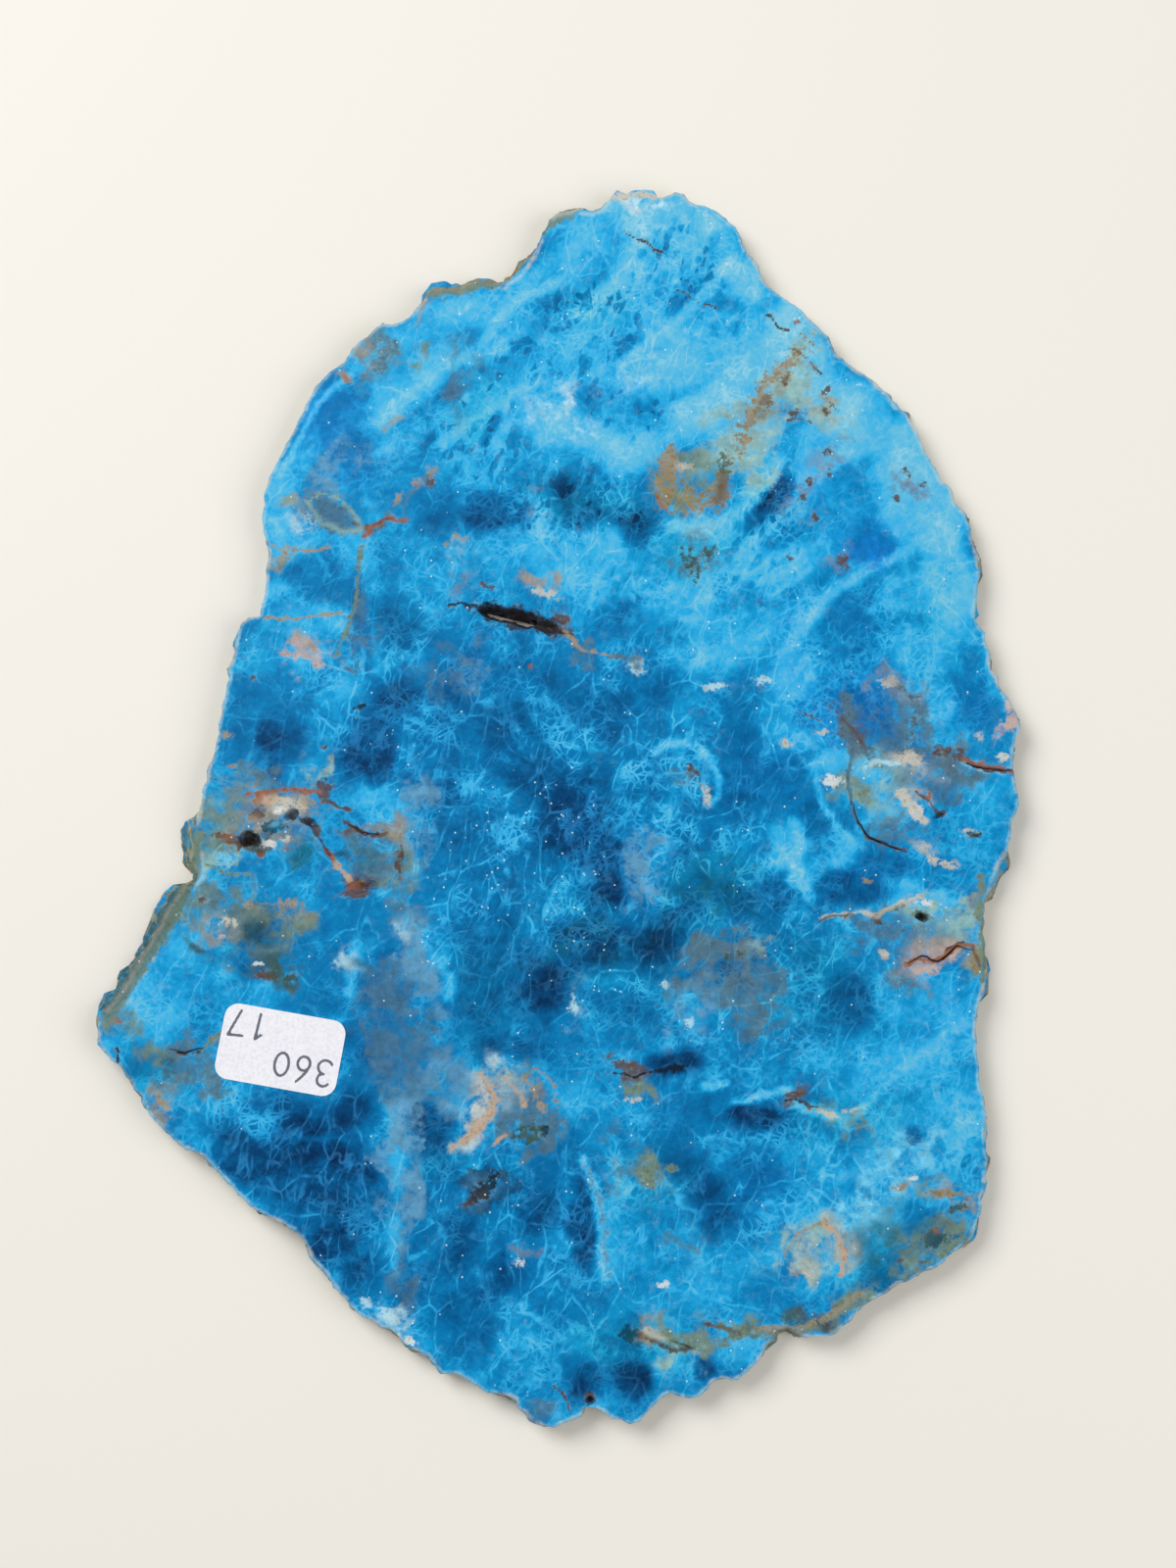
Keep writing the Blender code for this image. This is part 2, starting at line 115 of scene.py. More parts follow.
# Broad zones of the stone's body: how milky, 0 deep blue to 1 white; the place; half lengths; turn
BODY_ZONES = (
    # crest
    (0.80, 14, 96, 12, 5, 0), (0.66, 5, 94, 4.5, 2.5, 0), (0.70, 1, 88, 7, 4, 30),
    (0.80, 24, 94, 6, 3, -45), (0.76, 19, 88, 8, 4, 42), (0.76, 30, 85, 3.5, 6, 15),
    (0.77, 11, 86, 3, 6, -10), (0.68, 5, 80, 3.5, 5, 10), (0.66, -8, 81, 10, 3.5, 44),
    (0.74, -18, 78, 6, 3, 30), (0.66, -9, 75, 6, 3, 42), (0.70, 3, 73, 6, 4, 20),
    (0.68, 7, 69, 4, 3, 0), (0.70, 26, 76, 9, 3.5, 10), (0.70, 14, 78, 4, 4, 0),
    (0.78, 18, 69, 9, 4.5, 20), (0.80, 30, 68, 6, 6, 60), (0.86, 37, 77, 5, 3.5, -40),
    # upper left
    (0.70, -29, 73, 9, 4, 35), (0.72, -22, 70, 5, 3, 30), (0.52, -15, 68, 3, 5, -20),
    (0.68, -27, 65, 8, 4, 35), (0.68, -13, 60, 8, 7, 60), (0.46, -38, 61, 5.5, 7, -35),
    (0.44, -34, 54, 6, 4, 20), (0.62, -26, 56, 5, 5, 0), (0.62, -45, 53, 3, 6, -20),
    (0.70, -47, 45, 3, 7, 0), (0.55, -37, 45, 6, 4, 0), (0.68, -44, 39, 5, 3, 0),
    (0.40, -42, 34, 6, 3.5, 30), (0.56, -46, 31, 3, 3, 0), (0.64, -34, 38, 4, 3, 0),
    # upper middle
    (0.78, 0, 59, 9, 4.5, -10), (0.80, 11, 56, 7, 3.5, 0), (0.62, 13, 62, 4, 2.5, 0),
    (0.80, 22, 61, 7, 4, 30), (0.78, 30, 57, 7, 5, 45), (0.66, -4, 66, 4, 4, 0),
    (0.62, -12, 51, 8, 4, 0), (0.40, -20, 45, 6, 5, 30), (0.28, -11, 44.5, 7, 3, 5),
    (0.56, -2, 51, 6, 2.5, 0), (0.60, -4, 45, 3, 4, 0), (0.32, 4, 46.5, 6, 3.2, -25),
    (0.34, 12, 43, 5, 3.5, 0), (0.71, -3, 40, 5, 4, 0), (0.70, 6, 38, 6, 4, 0),
    (0.52, -26, 38, 6, 5, 40), (0.60, -14, 37, 6, 4, 0), (0.74, 22, 41, 6, 3, 10),
    (0.62, 20, 37, 6, 5, 20), (0.68, 28, 36, 6, 4, 30), (0.72, 4, 33, 9, 4, 0),
    (0.70, 20, 31, 7, 3, 15), (0.56, -20, 32, 6, 4, 0),
    # right shoulder
    (0.60, 31, 49, 4, 4, 0), (0.30, 33, 45.5, 2.4, 6, -35), (0.66, 40, 47, 4, 5, 0),
    (0.84, 38, 70, 7, 5, -40), (0.84, 46, 62, 7, 6, -40), (0.82, 56, 54, 7, 7, -50), (0.72, 42, 55, 5, 4, 0),
    (0.56, 46, 48, 4, 5, 0), (0.42, 50, 40, 5, 4.5, 0), (0.76, 57, 45, 4, 5, 0),
    (0.80, 62, 42, 4, 8, 10), (0.74, 62, 34, 5, 5, 0), (0.80, 64, 29, 4, 5, 0),
    (0.67, 38, 36, 8, 4, 30), (0.63, 36, 28, 8, 3.5, 10), (0.68, 54, 32, 4, 4, 0),
    # left side
    (0.34, -27, 27, 4, 5, 0), (0.36, -34, 29, 1.6, 6, 5), (0.66, -41, 27, 5, 3, 0),
    (0.56, -49, 21, 5, 4, 0), (0.66, -42, 22, 4, 3, 0), (0.42, -46, 14, 7, 4, 0),
    (0.66, -36, 17, 2.5, 5, -35), (0.24, -46, 7, 5, 5, 0), (0.44, -53, 8, 3, 6, 0),
    (0.52, -55, -3, 3, 6, 0), (0.54, -39, 8, 3, 5, 0), (0.22, -31, 6, 4.5, 6.5, -20),
    (0.26, -27, 15, 4, 4, 0), (0.40, -18, 21, 7, 6, 0), (0.46, -8, 24, 6, 3, -20),
    (0.66, -29, -2, 5, 3.5, -20), (0.52, -42, -14, 5, 5, 0), (0.44, -36, -22, 5, 7, 0),
    (0.62, -25, -15, 3, 5, -30), (0.60, -57, -17, 5, 4, 50), (0.24, -48, -23, 4, 3.5, 0),
    (0.45, -43, -25, 4, 6, 0), (0.28, -48, -30, 4, 2, 0), (0.62, -60, -27, 4, 7, -25),
    (0.66, -65, -35, 6, 5, -30), (0.54, -55, -32, 4, 4, 0), (0.44, -64, -44, 5, 3, -30),
    (0.55, -70, -40, 3, 3, 0), (0.62, -59, -49, 5, 3.5, -40), (0.40, -36, -33, 5, 4, 0),
    # centre
    (0.30, -19, 11, 8, 6, 20), (0.34, -8, 9, 8, 7, 0), (0.36, -6, 18, 7, 5, 0),
    (0.34, 6, 12, 7, 6, 0), (0.42, 10, 26, 6, 2.4, -5), (0.36, 14, 17, 6, 4, 20),
    (0.46, 3, 21, 5, 3, 0), (0.36, -20, 1, 6, 5, 0), (0.40, -18, -7, 6, 6, 0),
    (0.42, -9, -11, 7, 7, 0), (0.34, -4, 2, 6, 5, 0), (0.17, 2, -6, 7, 8, 0),
    (0.40, 13, 1, 4, 6, 0), (0.18, 7, -14, 5, 8, 15), (0.15, 15, -25, 6, 4.5, 40),
    (0.16, 4, -25, 8, 5, 0), (0.10, -3, -33, 6, 5.5, 0), (0.34, -12, -22, 6, 6, 0),
    (0.26, -13, -33, 6, 7, 0), (0.28, -8, -42, 9, 4, 0), (0.34, 10, -36, 5, 5, 0),
    (0.42, 22, -9, 6, 6, 0), (0.30, 22, -18, 6, 4, 0), (0.36, 27, -2, 4, 5, 0),
    # right of the centre
    (0.72, 25, 22, 8, 3.5, 5), (0.62, 24, 27, 6, 3, 0), (0.50, 33, 18, 4, 3, 0),
    (0.68, 38, 20, 4, 7, -20), (0.44, 47, 25, 7, 7, 20), (0.50, 42, 14, 5, 4, 0),
    (0.36, 50, 11, 5, 5, 0), (0.42, 29, 9, 4, 5, 0), (0.40, 34, 2, 7, 6, -20),
    (0.62, 36, 9, 5, 2, -20), (0.68, 58, 23, 5, 4, 0), (0.64, 56, 16, 4, 3, 0),
    (0.42, 65, 14, 4, 5, 30), (0.66, 61, 12, 3, 4, 0), (0.64, 69, 20, 2, 5, 0),
    (0.74, 45, 3, 5, 2.5, -20), (0.66, 52, -3, 5, 5, 0), (0.32, 41, -6, 5, 4, 0),
    (0.70, 37, -12, 3.4, 6, 25), (0.66, 45, -10, 3, 3, 30), (0.30, 45, -17, 6, 3.4, 10),
    (0.32, 52, -13, 4, 4, 0), (0.48, 60, -14, 5, 3, 30), (0.54, 66, -6, 5, 5, 0),
    (0.60, 69, 1, 3, 5, 0), (0.54, 67, -13, 3, 4, 0), (0.30, 31, -18, 6, 4, 0),
    (0.56, 45, -24, 6, 3, 10), (0.64, 55, -20, 6, 4, 0), (0.34, 28, -28, 8, 6, 0),
    # lower right
    (0.50, 33, -37, 7, 4, 0), (0.40, 39, -30, 5, 5, 0), (0.34, 45, -35, 4.4, 5.4, 0),
    (0.60, 52, -34, 3, 6, 0), (0.64, 61, -38, 6, 7, 0), (0.66, 52, -45, 9, 4, 15),
    (0.56, 40, -44, 6, 3, 10), (0.46, 28, -44, 6, 3, 0), (0.74, 61, -55, 6, 8, 0),
    (0.60, 50, -57, 5, 6, -20), (0.46, 40, -53, 8, 3, 0), (0.14, 30, -52, 4, 2.4, 0),
    (0.58, 38, -61, 7, 6, 0), (0.40, 29, -61, 5, 6, 0), (0.24, 24, -67, 4.5, 5, 30),
    (0.66, 57, -64, 5, 4, 0), (0.34, 57, -70, 5, 3.5, 0), (0.58, 47, -67, 5, 4, 0),
    (0.36, 50, -77, 5, 3, 30), (0.62, 40, -74, 5, 6, 0), (0.56, 30, -75, 6, 5, 0),
    (0.60, 21, -78, 6, 5, 0), (0.46, 38, -82, 6, 3, 0), (0.34, 19, -60, 5, 4, 0),
    # lower middle
    (0.48, 8, -41, 6, 4, 0), (0.10, 17, -45, 4, 2, 0), (0.60, 3, -51, 4, 5, 0),
    (0.46, 14, -54, 8, 4, 0), (0.38, 23, -50, 5, 3, 0), (0.36, 0, -59, 5, 4, 0),
    (0.16, 3.2, -68, 2.6, 8, 5), (0.66, 8.6, -68, 2.0, 9, 3), (0.56, 13, -72, 4, 8, 0),
    (0.32, -4, -67, 4, 5, 0), (0.28, -8, -76, 5, 6, 0), (0.52, -6, -73, 2, 3, -30),
    (0.40, -12, -71, 4, 5, 0), (0.46, -8, -61, 4, 4, 0), (0.40, 1, -82, 5, 4, 0),
    (0.62, -8, -87, 3, 5, 0), (0.62, 14, -82, 4, 4, 0), (0.52, -4, -96, 4, 4, 0),
    (0.26, 2, -93, 3, 3, 0), (0.20, 10, -93, 4, 4, 0), (0.34, 10, -86, 3, 3, 0),
    (0.64, 17, -91, 4, 3, 20), (0.46, 22, -91, 3, 4, 0), (0.64, 26, -87, 4, 4, 0),
    # lower left
    (0.34, -28, -33, 5, 7, 0), (0.50, -22, -29, 3, 7, 15), (0.44, -24, -43, 5, 7, 0),
    (0.30, -31, -41, 3, 6, 20), (0.46, -17, -42, 4, 5, 0), (0.56, -54, -52, 7, 3, -35),
    (0.30, -41, -53, 7, 4, -10), (0.22, -33, -52, 4, 5, 0), (0.20, -50, -59, 7, 4, -35),
    (0.22, -42, -62, 8, 5, -35), (0.20, -33, -62, 5, 6, 0), (0.16, -36, -71, 5, 6, -30),
    (0.46, -26, -60, 2.6, 9, 0), (0.40, -25, -72, 3, 7, 0), (0.28, -31, -77, 3, 4, -40),
    (0.24, -20, -54, 4, 4, 0), (0.38, -20, -64, 4, 6, 0), (0.30, -17, -74, 4, 6, 0),
    (0.30, -23, -80, 4, 3, 0), (0.62, -27, -84, 4, 2.6, -40), (0.34, -15, -84, 6, 5, 0),
    (0.40, -16, -55, 3, 3, 0),
)

# Dark cells in the pale stone and deep lenses, with firmer edges
DEEP_CELLS = (
    (0.60, 16.3, 83.5, 1.5, 2.6, -10), (0.60, 20, 86.5, 0.9, 2.4, -20), (0.61, 22.2, 85.6, 1.1, 2.0, -30),
    (0.61, 23.6, 88.2, 1.1, 2.2, -35), (0.60, 25, 91.6, 0.9, 1.8, -30), (0.61, 17, 89.5, 0.9, 1.9, 0),
    (0.59, 6.5, 80.4, 1.4, 3.0, -20), (0.60, 4.4, 81.5, 0.9, 1.7, -10), (0.61, 2.3, 80.2, 0.8, 1.5, 0),
    (0.61, -2, 77.5, 0.9, 1.6, -20), (0.61, -2.5, 72.8, 1.0, 1.8, 0), (0.60, 8, 71, 1.2, 3.6, -12),
    (0.52, 12.3, 62, 0.9, 1.9, 10), (0.52, 14.5, 62.4, 0.7, 1.8, 10), (0.59, 24.8, 76, 0.7, 1.6, 0),
    (0.59, 28, 76, 0.9, 1.7, 0), (0.44, -12, 59, 0.9, 3.4, -25), (0.44, -18, 51, 1.0, 2.6, -25),
    (0.46, -22.5, 56, 0.9, 2.2, -25), (0.28, 3, 46.2, 4.2, 2.2, -25), (0.30, 12, 42, 2.4, 2.8, 0),
    (0.22, -12, 44, 4.2, 1.9, 8), (0.34, -22, 43, 2.4, 1.8, 20), (0.22, 34.8, 47.6, 1.9, 4.0, -36),
    (0.28, 32.6, 43, 1.8, 2.6, -20), (0.15, -40, -58, 2.6, 1.8, 10), (0.15, -35.5, -58.5, 1.8, 2.2, 0),
    (0.17, -41, -54, 3.6, 1.6, -15), (0.22, -33, -75, 3.2, 2.4, -30), (0.14, -23, -53, 1.4, 2.8, 0),
    (0.14, -46.6, 2.4, 0.9, 1.9, 20), (0.16, -47.2, 8, 2.2, 2.6, 0), (0.18, -29.4, 4, 2.4, 4.4, -15),
    (0.16, 3.2, -71, 1.6, 5.0, 4), (0.28, 46.2, -16.6, 5.8, 2.5, -8), (0.32, 45, -35, 3.4, 4.6, 10),
    (0.10, -12.6, -47.6, 0.8, 0.8, 0), (0.34, 55, -55.5, 1.2, 1.7, 0), (0.12, 11, -92.6, 2.8, 2.6, 0),
    (0.20, 22, -91.4, 1.6, 1.9, 0), (0.16, 2.6, -94.2, 1.6, 1.6, 0), (0.14, 27.5, -52, 2.2, 1.0, 0),
    (0.14, 31.5, -52.4, 2.0, 0.9, 0), (0.14, 17, -45, 2.8, 1.2, 5), (0.26, 61, -70.5, 1.4, 1.4, 0),
)

# Milky threads and wisps: how milky, half width, and the route
WISPS = (
    (0.80, 0.7, ((3, -59.5), (5, -65), (6.4, -69), (6.9, -77.5))),
    (0.86, 0.5, ((22, -48), (25, -47.4))), (0.88, 0.45, ((27, -49.8), (31, -49.2), (36, -48.4))),
    (0.84, 0.7, ((36.5, -50.6), (40, -52), (44, -53.2), (47, -51.4))),
    (0.80, 0.5, ((31, 33.5), (35, 34.6), (39, 36.2))), (0.78, 0.45, ((33, 31), (40, 35))),
    (0.78, 0.45, ((29, 35), (36, 38.6))), (0.88, 1.0, ((18, 42.4), (23, 41.6), (28, 43.6), (31.4, 47.4), (35.4, 52.8))),
    (0.86, 0.6, ((-14, 73), (-11, 76.6), (-8, 80), (-2, 84))),
    (0.84, 0.35, ((-35.4, 68), (-39, 64.6), (-42, 60.6), (-44.6, 56), (-46.6, 51.4))),
    (0.82, 1.1, ((-30, 60), (-24, 66), (-18, 70), (-10, 73))),
    (0.80, 0.9, ((-20, 56), (-12, 62), (-6, 66), (2, 68))),
    (0.86, 1.0, ((2, 78), (8, 84), (12, 90), (14, 96))), (0.84, 0.8, ((10, 70), (16, 74), (22, 80), (28, 88))),
    (0.84, 1.1, ((18, 62), (26, 66), (32, 72), (36, 76))), (0.78, 0.9, ((40, 50), (46, 55), (54, 58), (60, 56))),
    (0.80, 0.8, ((36, 22), (42, 30), (50, 36), (58, 40))), (0.72, 0.8, ((14, 30), (24, 34), (34, 42))),
    (0.70, 0.7, ((-22, -26), (-20, -28), (-18, -31), (-18, -34))), (0.50, 0.5, ((11, -6), (10.2, -10), (10, -14), (10.6, -19))),
    (0.80, 0.6, ((45.6, 2.6), (47.6, 4.4), (51, 5), (53, 3.6))), (0.74, 0.8, ((34, -8), (36, -12), (39, -18))),
    (0.80, 0.7, ((37, -6), (38, -10), (36, -16))), (0.76, 0.6, ((60, -40), (54, -45), (48, -50), (44, -54))),
    (0.82, 0.5, ((14, 5), (16, 6.6), (19, 7), (22, 6), (24, 4), (25, 1), (24.4, -2), (23, -3.4))),
    (0.62, 0.8, ((-16, -54), (-17, -50), (-14, -45.4), (-9, -43.4), (-3.4, -44.6), (-0.6, -49), (-0.4, -54))),
    (0.74, 0.7, ((40, 3.6), (43, 4), (47, 3), (50, 2.2), (54, 1.4))),
    (0.78, 0.6, ((-33, -25), (-34, -29), (-34.4, -33))), (0.70, 0.7, ((-29, -18), (-25.6, -20), (-23, -24))),
    (0.66, 0.9, ((-27, -52), (-26, -60), (-27, -68), (-26, -76))),
    (0.80, 0.5, ((40.6, 2), (41.4, -2), (43, -6), (46, -9))), (0.72, 0.6, ((55, -16), (58, -18), (62, -19))),
)

# Leanings of the blue: +1 towards violet, -1 towards teal; the place; half lengths; turn
HUE_ZONES = (
    (-0.15, 0, 0, 90, 110, 0), (0.8, -38, 60, 7, 8, -35), (0.6, -35, 53, 7, 5, 0), (-0.7, 10, -20, 14, 20, 0),
    (-0.5, 5, 80, 8, 6, 0), (-0.8, 6, 46, 14, 5, -12), (-0.6, -15, 62, 5, 9, -20), (-0.7, 33, 47, 5, 8, -30),
    (-0.7, 20, 38, 8, 6, 0), (0.8, 49, 40, 8, 7, 0), (0.5, 44, 50, 8, 8, 0), (0.9, 47, 13, 12, 9, -20),
    (0.4, 46, 26, 10, 8, 0), (0.5, 66, 13, 5, 7, 0), (0.5, -17, 19, 8, 6, 0), (-0.5, -26, 26, 5, 6, 0),
    (-0.4, -52, 18, 6, 10, 0), (-0.6, -57, -4, 4, 10, 0), (0.3, -30, 6, 10, 10, 0), (0.5, 33, 2, 9, 8, 0),
    (0.5, 12, -12, 5, 9, 0), (0.4, 2, -6, 6, 9, 0), (-0.8, 24, -16, 9, 8, 0), (-0.6, -13, -34, 9, 12, 0),
    (-0.7, 36, -32, 14, 11, 0), (0.4, 49, -15, 9, 5, 0), (0.3, 60, -38, 9, 8, 0), (-0.6, -50, -24, 8, 9, 0),
    (-0.7, -64, -45, 8, 5, -30), (0.4, -26, -38, 8, 14, 0), (0.3, -38, -60, 14, 12, -30),
    (-0.6, 14, -62, 9, 7, 0), (0.4, 32, -64, 7, 8, 0), (-0.8, 52, -74, 12, 7, 20), (-0.7, 45, -53, 12, 5, 0),
    (-0.8, 10, -88, 12, 7, 0), (0.3, -6, -76, 9, 8, 0), (-0.5, -18, -58, 7, 6, 0), (-0.4, 60, 30, 8, 10, 0),
    (-0.3, 24, 92, 8, 8, 0), (-0.5, -60, -12, 6, 8, 0), (0.3, 40, 22, 9, 9, 0), (-0.3, 60, -58, 8, 12, 0),
)

